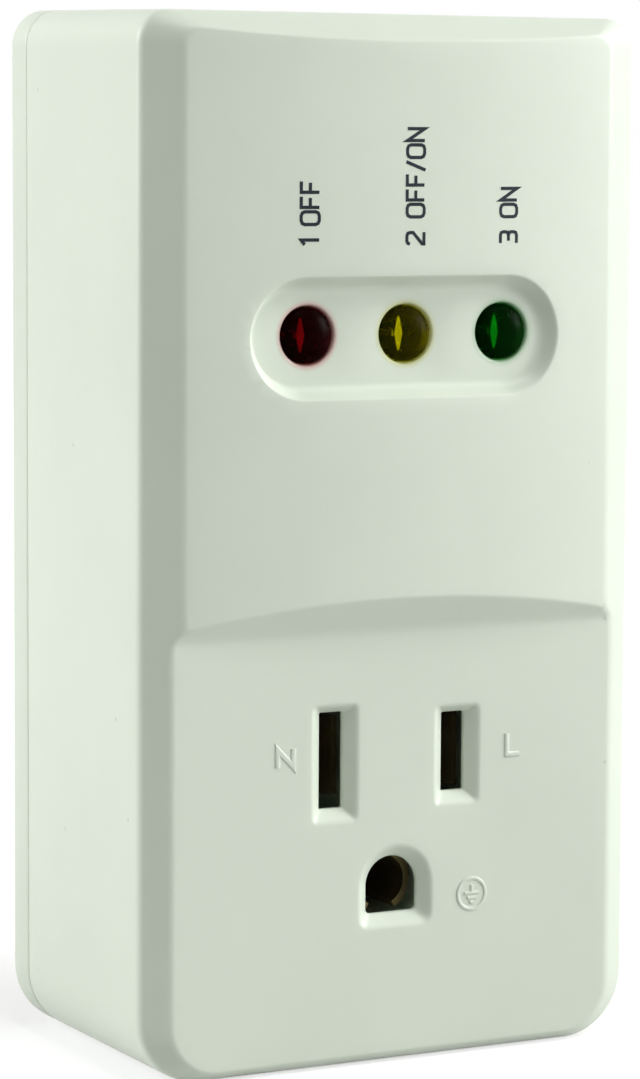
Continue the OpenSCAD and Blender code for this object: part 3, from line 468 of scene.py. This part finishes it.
def front_cover():
    """The face, bevel, window, openings, walls and inside of the front as one closed mesh."""
    b = Builder()
    rim = rim_rings(b)
    b.strips(rim)
    window = window_rings(b)
    b.strips(window)
    lamps = [lamp_hole_rings(b, x) for x in LAMP_XS]
    for rings in lamps:
        b.strips(rings)
    b.fill(window[-1], [rings[0] for rings in lamps], WINDOW_D + FACE_SHY)
    pockets, slots = [], []
    for x, h in ((-SLOT_X, NEUTRAL_H), (SLOT_X, LINE_H)):
        lean = (MOUTH_FLARE - MOUTH_TOP) / 2
        mouth = rounded_box(x, SLOT_Z - lean, SLOT_W / 2 + MOUTH_FLARE, h / 2 + MOUTH_FLARE - lean,
                            MOUTH_R)
        throat = rounded_box(x, SLOT_Z, SLOT_W / 2, h / 2, THROAT_R)
        under = rounded_box(x, SLOT_Z, SLOT_W / 2 + UNDERCUT, h / 2 + UNDERCUT, THROAT_R)
        slots.append((funnel(b, mouth, throat), under,
                      rounded_box(x, SLOT_Z, POCKET_HALF, POCKET_H, POCKET_R)))
    slots.append((funnel(b, ground_outline(MOUTH_FLARE, GROUND_MOUTH_R), ground_outline(0)),
                  ground_outline(UNDERCUT), circle(0, GROUND_Z, GROUND_POCKET_R)))
    for rings, under, pocket in slots:
        b.strips(rings)
        ceiling = b.loop(under, CAP_D)
        b.strip(rings[-1], ceiling)
        top, foot = b.loop(pocket, CAP_D), b.loop(pocket, BLOCK_D)
        b.fill(top, [ceiling], CAP_D)
        b.strip(top, foot)
        pockets.append(foot)
    b.fill(rim[0], [window[0]] + [rings[0] for rings, _, _ in slots], face_depth, face_points())
    block = rounded_box(0, (BLOCK_LOW + BLOCK_HIGH) / 2, BLOCK_HALF, (BLOCK_HIGH - BLOCK_LOW) / 2,
                        BLOCK_R)
    block_cap, block_end = b.loop(block, CAP_D), b.loop(block, BLOCK_D)
    b.strip(block_cap, block_end)
    b.fill(block_end, pockets, BLOCK_D)
    sides = [(0, depth) for depth in WALL_DEPTHS]
    sides += [(inset, SEAM_D - SEAM_ROUND + depth) for inset, depth in SEAM_RINGS]
    walls = [rim[-1]] + [b.loop(side_outline(inset, depth), depth) for inset, depth in sides]
    walls += [b.loop(even_outline(WALL), depth) for depth in (SEAM_D, CAP_D + CAP_FILLET)]
    cap = body_outline(CAP_INSET, CAP_INSET, CAP_INSET, CAP_TOP_R, CAP_FOOT_R)
    walls.append(b.loop(cap, CAP_D))
    b.strips(walls)
    b.fill(walls[-1], [block_cap] + [rings[-1] for rings in lamps], CAP_D)
    return b.make("front_shell", "housing", "front_cover", slot="body_plastic")


# Back cover

# The seam's gap, the rim's rings of inset and depth behind it, and where its back round is prepared
SEAM_GAP = 0.02
RIM_RINGS = ((0.22, 0.0), (0.10, 0.07), (0.03, 0.16), (0, 0.3))
ROUND_AHEAD, ROUND_STEPS = 0.8, 8
# Growth and distance from the back of a screw well's soft edge, and of the plug's openings
WELL_EDGE = ((0.3, 0.0), (0.1, 0.05), (0.0, 0.25))
PLUG_EDGE = ((0.16, 0.0), (0.03, 0.15))
BLADE_HOLE_R = 0.1


def back_cover():
    """The tray behind the seam, with the screws' wells and the plug's openings."""
    b = Builder()
    seam = SEAM_D + SEAM_GAP
    floor = BODY_D - WALL
    profile = [(inset, seam + depth) for inset, depth in RIM_RINGS]
    profile.append((0, BODY_D - BACK_R - ROUND_AHEAD))
    for i in range(ROUND_STEPS + 1):
        a = math.radians(90 * i / ROUND_STEPS)
        profile.append((BACK_R * (1 - math.cos(a)), BODY_D - BACK_R + BACK_R * math.sin(a)))
    rings = [b.loop(even_outline(WALL), depth) for depth in (floor, seam)]
    rings += [b.loop(side_outline(inset, depth), depth) for inset, depth in profile]
    b.strips(rings)
    outside, inside = [], []

    def open_hole(loops):
        b.strips(loops)
        outside.append(loops[0])
        inside.append(loops[-1])

    well = [(HEAD_R + grow, BODY_D - ahead) for grow, ahead in WELL_EDGE]
    well += [(HEAD_R, HEAD_D), (SHAFT_R, HEAD_D), (SHAFT_R, SEAM_D - BOSS_LEN),
             (BOSS_R, SEAM_D - BOSS_LEN), (BOSS_R, floor)]
    gaps = [(grow, BODY_D - ahead) for grow, ahead in PLUG_EDGE]
    gaps.append((gaps[-1][0], floor))
    for x in (-POST_X, POST_X):
        for z in (POST_LOW, TOP_Z - POST_LOW):
            open_hole([b.loop(circle(x, z, r), depth) for r, depth in well])
    for x in (-SLOT_X, SLOT_X):
        open_hole([b.loop(rounded_box(x, PLUG_Z, BLADE_T / 2 + g, BLADE_W / 2 + g, BLADE_HOLE_R + g),
                          depth) for g, depth in gaps])
    open_hole([b.loop(circle(0, PIN_Z, PIN_SEAT_R + g), depth) for g, depth in gaps])
    b.fill(rings[-1], outside, BODY_D)
    b.fill(rings[0], inside, floor)
    return b.make("back_shell", "housing", "back_cover", slot="body_plastic")


# Lamps

# Steps of a lens's nose, and inset and depth of its flange's soft edge
NOSE_STEPS = 12
FLANGE_EDGE = ((0.04, 0.02), (0.0, 0.1))
# A lens holds an upright leaf with pointed ends, for the die, in front of two posts
LEAF_X, LEAF_HALF, LEAF_REACH, LEAF_POINTS = -0.3, 0.42, 1.55, 24
LEAF_D, LEAF_BACK = 2.6, 3.0
# Left, right, front and back of the leaf's stem, its foot and the two posts, from the lamp's axis
LEAD_BOXES = ((-0.75, -0.45, LEAF_BACK, 6.2), (-1.5, -0.45, 6.2, 6.7), (-1.5, -1.0, 6.7, 9.4),
              (1.0, 1.5, 6.7, 9.4))
LEAD_HALF = 0.25


def lens(name, node, x, slot):
    """An epoxy lens: low domed nose, straight body and flange."""
    low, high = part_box(node)
    tip = low[1] / MM - FRONT_Y
    end = high[1] / MM - FRONT_Y
    b = Builder()
    profile = []
    for i in range(1, NOSE_STEPS + 1):
        a = math.radians(90 * i / NOSE_STEPS)
        profile.append((LAMP_R * math.sin(a), tip + LAMP_NOSE * (1 - math.cos(a))))
    flange_r, flange_d = LAMP_R + FLANGE_W, end - FLANGE_H
    profile.append((LAMP_R, flange_d))
    profile += [(flange_r - inset, flange_d + depth) for inset, depth in FLANGE_EDGE]
    profile.append((flange_r, end))
    rings = [b.loop(circle(x, LAMP_Z, r), d) for r, d in profile]
    b.strips(rings)
    b.faces += [tuple(rings[0]), tuple(rings[-1])]
    return b.make(name, "housing", node, slot=slot)


def box_faces(b, low, high):
    """A box with its edges in the depth frame."""
    (x0, d0, z0), (x1, d1, z1) = low, high
    front = b.ring([(x0, d0, z0), (x1, d0, z0), (x1, d0, z1), (x0, d0, z1)])
    back = b.ring([(x0, d1, z0), (x1, d1, z0), (x1, d1, z1), (x0, d1, z1)])
    b.strip(front, back)
    b.faces += [tuple(front), tuple(back)]


def lead_frame(name, x):
    """The leaf, its stem and foot, and the posts of the lamp at x."""
    b = Builder()
    turns = [math.tau * k / LEAF_POINTS for k in range(LEAF_POINTS)]
    leaf = [(x + LEAF_X + LEAF_HALF * math.cos(a), LAMP_Z + LEAF_REACH * math.sin(a) ** 3) for a in turns]
    face, rear = b.loop(leaf, LEAF_D), b.loop(leaf, LEAF_BACK)
    b.strip(face, rear)
    b.faces += [tuple(face), tuple(rear)]
    for left, right, front, back in LEAD_BOXES:
        box_faces(b, (x + left, front, LAMP_Z - LEAD_HALF), (x + right, back, LAMP_Z + LEAD_HALF))
    return b.make(name, "housing", slot="tinned_wire")


# Marks: printed words above the lamps, raised signs beside the slots

# Strokes of each printed sign on a grid one unit high, and its width
GLYPHS = {
    "O": ([([(0.2, 0), (0.44, 0), (0.58, 0.06), (0.64, 0.2), (0.64, 0.8), (0.58, 0.94), (0.44, 1),
             (0.2, 1), (0.06, 0.94), (0, 0.8), (0, 0.2), (0.06, 0.06)], True)], 0.64),
    "F": ([([(0, 0), (0, 1), (0.54, 1)], False), ([(0, 0.5), (0.48, 0.5)], False)], 0.54),
    "N": ([([(0, 0), (0, 1), (0.6, 0), (0.6, 1)], False)], 0.6),
    "/": ([([(0, -0.06), (0.42, 1.06)], False)], 0.42),
    "1": ([([(0, 0.8), (0.24, 1), (0.24, 0)], False)], 0.24),
    "2": ([([(0, 0.82), (0.04, 0.95), (0.16, 1), (0.42, 1), (0.54, 0.95), (0.58, 0.82), (0.58, 0.64),
             (0, 0.1), (0, 0), (0.6, 0)], False)], 0.6),
    "3": ([([(0, 1), (0.42, 1), (0.54, 0.95), (0.58, 0.82), (0.58, 0.66), (0.52, 0.54), (0.4, 0.5),
             (0.52, 0.46), (0.58, 0.34), (0.58, 0.18), (0.54, 0.05), (0.42, 0), (0, 0)], False),
           ([(0.12, 0.5), (0.4, 0.5)], False)], 0.58),
    " ": ([], 0.34),
}
GLYPH_GAP = 0.22
LETTER_H, PRINT_W = 1.75, 0.3
LABEL_Z = SLOT_Z + 46.7
# Name, words and x of each printed label
LABELS = (("label_left", "1 OFF", -10.09),
          ("label_middle", "2 OFF/ON", 0.4),
          ("label_right", "3 ON", 10.25))
PRINT_SECTION = [(s * PRINT_W / 2, t * PRINT_LIFT) for s, t in ((1, 1), (-1, 1), (-1, -1), (1, -1))]
# Half widths of the letters' and the earth sign's ridges, their height and how deep they root
SIGN_HALF, EARTH_HALF, SIGN_H, SIGN_ROOT = 0.27, 0.19, 0.11, 0.1
RIDGE_STEPS, RING_STEPS = 6, 40
# Left, right, foot and top of the letters N and L; heights are from the slots' middle
SIGN_N = (-12.25, -10.65, -0.15, 1.5)
SIGN_L = (11.6, 12.95, -0.6, 1.4)
# The earth sign's middle and radius, its stem's ends, and half width and height of its bars
EARTH_X, EARTH_Z, EARTH_R = 8.0, SLOT_Z - 13.35, 1.45
EARTH_STEM = (0.85, 0.05)
EARTH_BARS = ((0.75, 0.05), (0.45, -0.4), (0.18, -0.8))


def bar(b, path, closed, section, place):
    """A bar along a path. The section lists (across, lift) pairs; place(u, v, lift) is on the object."""
    n = len(path)
    rails = []
    for i, p in enumerate(path):
        before = path[i - 1] if closed or i else p
        after = path[(i + 1) % n] if closed or i < n - 1 else p
        normals = []
        for q, r in ((before, p), (p, after)):
            length = math.hypot(r[0] - q[0], r[1] - q[1])
            if length:
                normals.append(((q[1] - r[1]) / length, (r[0] - q[0]) / length))
        a, c = normals[0], normals[-1]
        scale = 1 / (1 + a[0] * c[0] + a[1] * c[1])
        mx, my = (a[0] + c[0]) * scale, (a[1] + c[1]) * scale
        points = [place(p[0] + mx * across, p[1] + my * across, lift) for across, lift in section]
        rails.append(b.ring(points))
    for i in range(n if closed else n - 1):
        b.strip(rails[i], rails[(i + 1) % n])
    if not closed:
        b.faces += [tuple(rails[0]), tuple(rails[-1])]


def printed(name, text, x):
    """Printed signs on the upper face that read upwards over the lamps, centred on x."""
    b = Builder()
    pen = 0
    for sign in text:
        strokes, wide = GLYPHS[sign]

        def place(u, v, lift, start=pen):
            px, pz = x + LETTER_H / 2 - v, LABEL_Z + start + u
            return (px, face_depth(px, pz) - lift, pz)
        for path, closed in strokes:
            bar(b, [(u * LETTER_H, v * LETTER_H) for u, v in path], closed, PRINT_SECTION, place)
        pen += (wide + GLYPH_GAP) * LETTER_H
    return b.make(name, "housing", slot="dark_plastic")


def raised(name, strokes, half=SIGN_HALF):
    """Moulded signs: low round ridges along strokes of (x, z) points on the lower panel."""
    b = Builder()
    turns = [math.radians(180 * k / RIDGE_STEPS) for k in range(RIDGE_STEPS + 1)]
    section = [(half * math.cos(a), SIGN_H * math.sin(a)) for a in turns]
    section += [(-half, -SIGN_ROOT), (half, -SIGN_ROOT)]
    for stroke, closed in strokes:
        bar(b, stroke, closed, section, lambda x, z, lift: (x, PANEL_STEP - lift, z))
    return b.make(name, "housing", slot="body_plastic")


def signs():
    """The letters N and L and the earth sign, each beside its own opening."""
    left, right, foot, top = SIGN_N
    low, high = SLOT_Z + foot, SLOT_Z + top
    neutral = raised("sign_neutral", [([(left, low), (left, high), (right, low), (right, high)], False)])
    left, right, foot, top = SIGN_L
    low, high = SLOT_Z + foot, SLOT_Z + top
    line = raised("sign_line", [([(left, high), (left, low), (right, low)], False)])
    strokes = [(circle(EARTH_X, EARTH_Z, EARTH_R, RING_STEPS), True),
               ([(EARTH_X, EARTH_Z + up) for up in EARTH_STEM], False)]
    for half, up in EARTH_BARS:
        strokes.append(([(EARTH_X - half, EARTH_Z + up), (EARTH_X + half, EARTH_Z + up)], False))
    earth = raised("sign_earth", strokes, EARTH_HALF)
    return [neutral, line, earth]


# Materials

def srgb(r, g, b):
    """Linear colour from 0 to 255 display values."""
    def lin(c):
        c /= 255
        return c / 12.92 if c <= 0.04045 else ((c + 0.055) / 1.055) ** 2.4
    return (lin(r), lin(g), lin(b), 1)


class Nodes:
    """A small helper round a material's node tree."""

    def __init__(self, name):
        self.material = bpy.data.materials.new(name)
        self.material.use_nodes = True
        self.tree = self.material.node_tree
        self.shader = self.tree.nodes["Principled BSDF"]
        self.place = self.tree.nodes.new("ShaderNodeTexCoord").outputs["Object"]

    def add(self, kind, **inputs):
        node = self.tree.nodes.new("ShaderNode" + kind)
        for key, value in inputs.items():
            self.put(node, key.replace("_", " "), value)
        return node

    def put(self, node, key, value):
        socket = node.inputs[key]
        if isinstance(value, bpy.types.NodeSocket):
            self.tree.links.new(value, socket)
        else:
            socket.default_value = value

    def set(self, **inputs):
        for key, value in inputs.items():
            self.put(self.shader, key.replace("_", " "), value)

    def noise(self, scale, detail=3.0, stretch=(1, 1, 1)):
        spread = self.add("Mapping", Vector=self.place, Scale=stretch)
        return self.add("TexNoise", Vector=spread.outputs[0], Scale=scale, Detail=detail).outputs["Fac"]

    def ramp(self, value, low, high, start=0.3, end=0.7):
        """A colour between two, as the value goes from start to end."""
        node = self.add("ValToRGB", Fac=value)
        node.color_ramp.elements[0].position = start
        node.color_ramp.elements[0].color = low
        node.color_ramp.elements[1].position = end
        node.color_ramp.elements[1].color = high
        return node.outputs["Color"]

    def span(self, value, low, high, start=0.3, end=0.7):
        """A number between two, as the value goes from start to end."""
        node = self.add("MapRange", Value=value)
        for key, number in (("From Min", start), ("From Max", end), ("To Min", low), ("To Max", high)):
            node.inputs[key].default_value = number
        return node.outputs["Result"]

    def blend(self, share, a, b):
        """The colour a where the share is zero, and b where it is one."""
        node = self.add("Mix")
        node.data_type = "RGBA"
        for key, value in (("Factor", share), ("A", a), ("B", b)):
            self.put(node, key, value)
        return node.outputs["Result"]

    def bump(self, height, strength, distance):
        return self.add("Bump", Height=height, Strength=strength, Distance=distance * MM).outputs["Normal"]


def plastic(name, low, high, rough):
    """Moulded plastic: faintly blotched, with a fine grain."""
    m = Nodes(name)
    blotch = m.noise(90, 4)
    fine = m.noise(2600, 2)
    m.set(Base_Color=m.ramp(blotch, low, high), Roughness=m.span(m.noise(320, 3), *rough),
          Normal=m.bump(fine, 0.25, 0.02))
    return m


def metal(name, low, high, rough, stretch=(1, 1, 1)):
    """Bare metal with streaks, which lie across the axis that is stretched."""
    m = Nodes(name)
    streak = m.noise(900, 4, stretch)
    m.set(Base_Color=m.ramp(m.noise(260, 5), low, high), Metallic=1.0,
          Roughness=m.span(streak, *rough), Normal=m.bump(streak, 0.2, 0.01))
    return m


# Painted light round a lamp, the coloured light through its lens painted on the plastic by its hole: its
# strength, how deep its middle lies, and the radii where it fades
LAMP_LIGHT_PAINT, LAMP_LIGHT_DEEP, LAMP_LIGHT_FROM, LAMP_LIGHT_TO = 0.6, 0.3, 2.6, 3.25
# Specks: cells in a metre, their strength, and the distances from a cell's middle where they fade
SPECK_CELLS, SPECK, SPECK_FROM, SPECK_TO = 115.0, 0.18, 0.018, 0.03
# How far light goes under the surface, in millimetres
SUBSURFACE = 0.8


def body_plastic():
    """Off-white moulded plastic: faint mottling, a few specks, and painted coloured light from each lamp's
    lens round its hole.
    """
    m = Nodes("body_plastic")
    colour = m.ramp(m.noise(70, 4), srgb(219, 229, 213), srgb(223, 233, 217))
    # Painted light: the colour that light through each lens casts on the plastic round its hole is painted
    # into the base colour
    for x, lamp_light in zip(LAMP_XS, (srgb(214, 120, 120), srgb(196, 196, 60), srgb(140, 190, 140))):
        away = m.add("VectorMath", Vector=m.place)
        away.operation = "DISTANCE"
        away.inputs[1].default_value = at(x, WINDOW_D + LAMP_LIGHT_DEEP, LAMP_Z)
        near = m.span(away.outputs["Value"], LAMP_LIGHT_PAINT, 0.0, LAMP_LIGHT_FROM * MM, LAMP_LIGHT_TO * MM)
        colour = m.blend(near, colour, lamp_light)
    specks = m.add("TexVoronoi", Vector=m.place, Scale=SPECK_CELLS)
    dots = m.span(specks.outputs["Distance"], SPECK, 0.0, SPECK_FROM, SPECK_TO)
    worn = m.blend(dots, colour, srgb(120, 118, 100))
    m.set(Base_Color=worn, Roughness=m.span(m.noise(240, 3), 0.36, 0.44),
          Normal=m.bump(m.noise(3000, 2), 0.18, 0.012), Subsurface_Weight=0.06)
    m.shader.inputs["Subsurface Radius"].default_value = (1.0, 1.0, 0.8)
    m.shader.inputs["Subsurface Scale"].default_value = SUBSURFACE * MM
    return m


def epoxy(name, low, high):
    """Tinted clear epoxy of an unlit lamp."""
    m = Nodes(name)
    cloud = m.noise(500, 2)
    m.set(Base_Color=m.ramp(cloud, low, high), Roughness=m.span(m.noise(900, 2), 0.2, 0.28),
          Transmission_Weight=0.95, IOR=1.06)
    m.shader.inputs["Specular IOR Level"].default_value = 0.0
    return m


def ink():
    """Dark ink of the printed labels, with little gloss."""
    m = Nodes("label_ink")
    m.set(Base_Color=m.ramp(m.noise(1500, 3), srgb(16, 26, 34), srgb(30, 40, 48)),
          Roughness=m.span(m.noise(700), 0.5, 0.65))
    m.shader.inputs["Specular IOR Level"].default_value = 0.2
    return m


def laminate():
    """The circuit board's green lacquer over a faint weave."""
    m = Nodes("board_laminate")
    weave = m.add("TexWave", Vector=m.place, Scale=900.0, Distortion=1.5)
    m.set(Base_Color=m.ramp(m.noise(200, 4), srgb(22, 78, 40), srgb(34, 96, 52)), Roughness=0.4,
          Normal=m.bump(weave.outputs["Fac"], 0.15, 0.01))
    return m


def coil_wire():
    """Enamelled copper wire in close turns."""
    m = Nodes("coil_copper")
    wave = m.add("TexWave", Vector=m.place, Scale=1400.0, Distortion=0.2)
    wave.bands_direction = "Y"
    m.set(Base_Color=m.ramp(wave.outputs["Fac"], srgb(120, 54, 26), srgb(206, 118, 66)), Metallic=0.85,
          Roughness=m.span(m.noise(800), 0.3, 0.42), Normal=m.bump(wave.outputs["Fac"], 0.6, 0.05))
    return m


def banded(name, base, other, scale):
    """Painted small part with rings across its length."""
    m = Nodes(name)
    wave = m.add("TexWave", Vector=m.place, Scale=scale, Distortion=0.0)
    m.set(Base_Color=m.ramp(wave.outputs["Fac"], base, other, 0.86, 0.9),
          Roughness=m.span(m.noise(700), 0.35, 0.5))
    return m


def materials():
    """The finishes by slot of the record."""
    return {
        "body_plastic": body_plastic(),
        "zinc_steel": metal("zinc_steel", srgb(168, 168, 162), srgb(205, 205, 200), (0.22, 0.38)),
        "board_laminate": laminate(),
        "red_lens": epoxy("red_lens", srgb(82, 1, 3), srgb(104, 3, 6)),
        "yellow_lens": epoxy("yellow_lens", srgb(162, 155, 2), srgb(184, 176, 8)),
        "green_lens": epoxy("green_lens", srgb(2, 112, 8), srgb(5, 134, 14)),
        "tinned_wire": metal("tinned_wire", srgb(190, 190, 186), srgb(222, 222, 218), (0.15, 0.3)),
        "contact_brass": metal("contact_brass", srgb(104, 93, 62), srgb(126, 113, 80), (0.42, 0.55),
                               (1, 1, 6)),
        "blade_brass": metal("blade_brass", srgb(196, 158, 88), srgb(226, 194, 124), (0.16, 0.34), (1, 1, 8)),
        "dark_plastic": plastic("dark_plastic", srgb(34, 34, 36), srgb(48, 48, 50), (0.42, 0.55)),
        "relay_blue": plastic("relay_blue", srgb(34, 76, 150), srgb(48, 92, 168), (0.3, 0.4)),
        "relay_iron": metal("relay_iron", srgb(156, 156, 152), srgb(186, 186, 180), (0.25, 0.45)),
        "bobbin_nylon": plastic("bobbin_nylon", srgb(222, 216, 196), srgb(236, 232, 214), (0.4, 0.5)),
        "coil_copper": coil_wire(),
        "spring_bronze": metal("spring_bronze", srgb(190, 128, 74), srgb(216, 156, 98), (0.2, 0.3),
                               (1, 6, 1)),
        "contact_silver": metal("contact_silver", srgb(200, 200, 194), srgb(232, 232, 226), (0.12, 0.3)),
        "film_yellow": plastic("film_yellow", srgb(206, 158, 36), srgb(224, 180, 58), (0.32, 0.42)),
        "can_sleeve": plastic("can_sleeve", srgb(28, 32, 58), srgb(40, 46, 76), (0.28, 0.4)),
        "disc_coating": plastic("disc_coating", srgb(38, 74, 134), srgb(54, 92, 154), (0.4, 0.5)),
        "diode_epoxy": banded("diode_epoxy", srgb(26, 26, 28), srgb(196, 196, 192), 130.0),
        "resistor_paint": banded("resistor_paint", srgb(206, 178, 130), srgb(120, 60, 30), 420.0),
        "white_sheath": plastic("white_sheath", srgb(226, 226, 220), srgb(236, 236, 230), (0.34, 0.44)),
        "black_sheath": plastic("black_sheath", srgb(26, 26, 26), srgb(38, 38, 38), (0.34, 0.44)),
        "green_sheath": plastic("green_sheath", srgb(34, 110, 52), srgb(48, 128, 66), (0.34, 0.44)),
    }


def dress(obj, wrap):
    """A finish for a piece that is made here."""
    obj.data.materials.clear()
    obj.data.materials.append(wrap.material)


def dress_nodes(wraps):
    """Every CAD node takes the finish of its slot in the record."""
    for part in frame["record"]["subparts"]:
        obj = frame["nodes"][part["node"]]
        for slot in obj.material_slots:
            slot.link = "OBJECT"
            slot.material = wraps[part["material_slot"]].material


# Stage

# The floor's half width in millimetres and its greys, and the glow that the camera sees on it:
# its strength by the object, and the distances in metres where it starts to rise and is white
FLOOR_HALF, FLOOR_LOW, FLOOR_HIGH = 1500, 0.57, 0.59
GLOW_NEAR, GLOW_FROM, GLOW_TO = 0.6, 0.08, 0.3
# Name, azimuth, elevation, distance in metres, size in metres, power in watts
LIGHTS = (("key_right", 78, 32, 0.9, 0.35, 1.9),
          ("key_low", 60, 15, 0.9, 0.35, 5.7),
          ("key_high", 50, 50, 0.9, 0.35, 0.8),
          ("front_high", 0, 65, 0.9, 0.35, 2.7),
          ("side_left", -112, 20, 0.9, 0.5, 6.7))


def floor():
    """A pale floor that turns white away from the object and keeps the object's shadow."""
    side, front, back = FLOOR_HALF, -FLOOR_HALF, FLOOR_HALF * 4
    corners = [at(-side, front, 0), at(side, front, 0), at(side, back, 0), at(-side, back, 0)]
    mesh = bpy.data.meshes.new("floor")
    mesh.from_pydata(corners, [], [(0, 1, 2, 3)])
    obj = bpy.data.objects.new("floor", mesh)
    bpy.context.scene.collection.objects.link(obj)
    m = Nodes("floor_white")
    dim, pale = [(grey, grey, grey, 1) for grey in (FLOOR_LOW, FLOOR_HIGH)]
    m.set(Base_Color=m.ramp(m.noise(3, 2), dim, pale), Roughness=0.9)
    m.shader.inputs["Specular IOR Level"].default_value = 0.0
    away = m.add("VectorMath", Vector=m.place)
    away.operation = "LENGTH"
    strength = m.span(away.outputs["Value"], GLOW_NEAR, 1.0, GLOW_FROM, GLOW_TO)
    glow = m.add("Emission", Color=(1, 1, 1, 1), Strength=strength)
    both = m.add("AddShader")
    pick = m.add("MixShader", Fac=seen_ray(m.tree))
    target = m.tree.nodes["Material Output"]
    for source, goal in ((m.shader, both.inputs[0]), (glow, both.inputs[1]), (m.shader, pick.inputs[1]),
                         (both, pick.inputs[2]), (pick, target.inputs["Surface"])):
        m.tree.links.new(source.outputs[0], goal)
    mesh.materials.append(m.material)


def seen_ray(tree):
    """One for a ray from the camera, a gloss or a glass, and zero for the light on the object."""
    path = tree.nodes.new("ShaderNodeLightPath")
    seen = path.outputs["Is Camera Ray"]
    for name in ("Is Glossy Ray", "Is Transmission Ray"):
        most = tree.nodes.new("ShaderNodeMath")
        most.operation = "MAXIMUM"
        tree.links.new(seen, most.inputs[0])
        tree.links.new(path.outputs[name], most.inputs[1])
        seen = most.outputs[0]
    return seen


def world():
    """White to the camera, in reflections and through the lenses, and no light on the object."""
    w = bpy.data.worlds.new("studio")
    w.use_nodes = True
    bpy.context.scene.world = w
    tree = w.node_tree
    back = tree.nodes["Background"]
    back.inputs["Color"].default_value = (1, 1, 1, 1)
    tree.links.new(seen_ray(tree), back.inputs["Strength"])


def light(name, azimuth, elevation, distance, size, power):
    """A soft square light that looks at the body's middle; azimuth 0 is in front, 90 on the right."""
    target = Vector((0, 0, HEIGHT / 2 * MM))
    a, e = math.radians(azimuth), math.radians(elevation)
    away = Vector((math.sin(a) * math.cos(e), -math.cos(a) * math.cos(e), math.sin(e)))
    data = bpy.data.lights.new(name, "AREA")
    data.shape = "SQUARE"
    data.size = size
    data.energy = power
    obj = bpy.data.objects.new(name, data)
    obj.location = target + away * distance
    obj.rotation_euler = (-away).to_track_quat("-Z", "Y").to_euler()
    bpy.context.scene.collection.objects.link(obj)


def camera():
    """The photograph's view, from the fit of the outlet's marks and the body's edges."""
    lens_mm = 127.29
    right = Vector((0.88379, -0.46785, 0.00543))
    up = Vector((0.04416, 0.09497, 0.9945))
    eye = at(-167.35, -298.49, 84.46)
    data = bpy.data.cameras.new("camera")
    data.lens = lens_mm
    data.clip_start = 0.01
    back = right.cross(up)
    obj = bpy.data.objects.new("camera", data)
    obj.matrix_world = Matrix.Translation(eye) @ Matrix((right, up, back)).transposed().to_4x4()
    bpy.context.scene.collection.objects.link(obj)
    bpy.context.scene.camera = obj


def main():
    wraps = materials()
    dress_nodes(wraps)
    dress(front_cover(), wraps["body_plastic"])
    dress(back_cover(), wraps["body_plastic"])
    for node, x in zip(("led_red", "led_yellow", "led_green"), LAMP_XS):
        slot = node.split("_")[1] + "_lens"
        dress(lens(node + "_lens", node, x, slot), wraps[slot])
        dress(lead_frame(node + "_frame", x), wraps["tinned_wire"])
    label = ink()
    for name, text, x in LABELS:
        dress(printed(name, text, x), label)
    for sign in signs():
        dress(sign, wraps["body_plastic"])
    floor()
    world()
    for one in LIGHTS:
        light(*one)
    camera()
    bpy.context.scene.view_settings.view_transform = "Standard"


main()
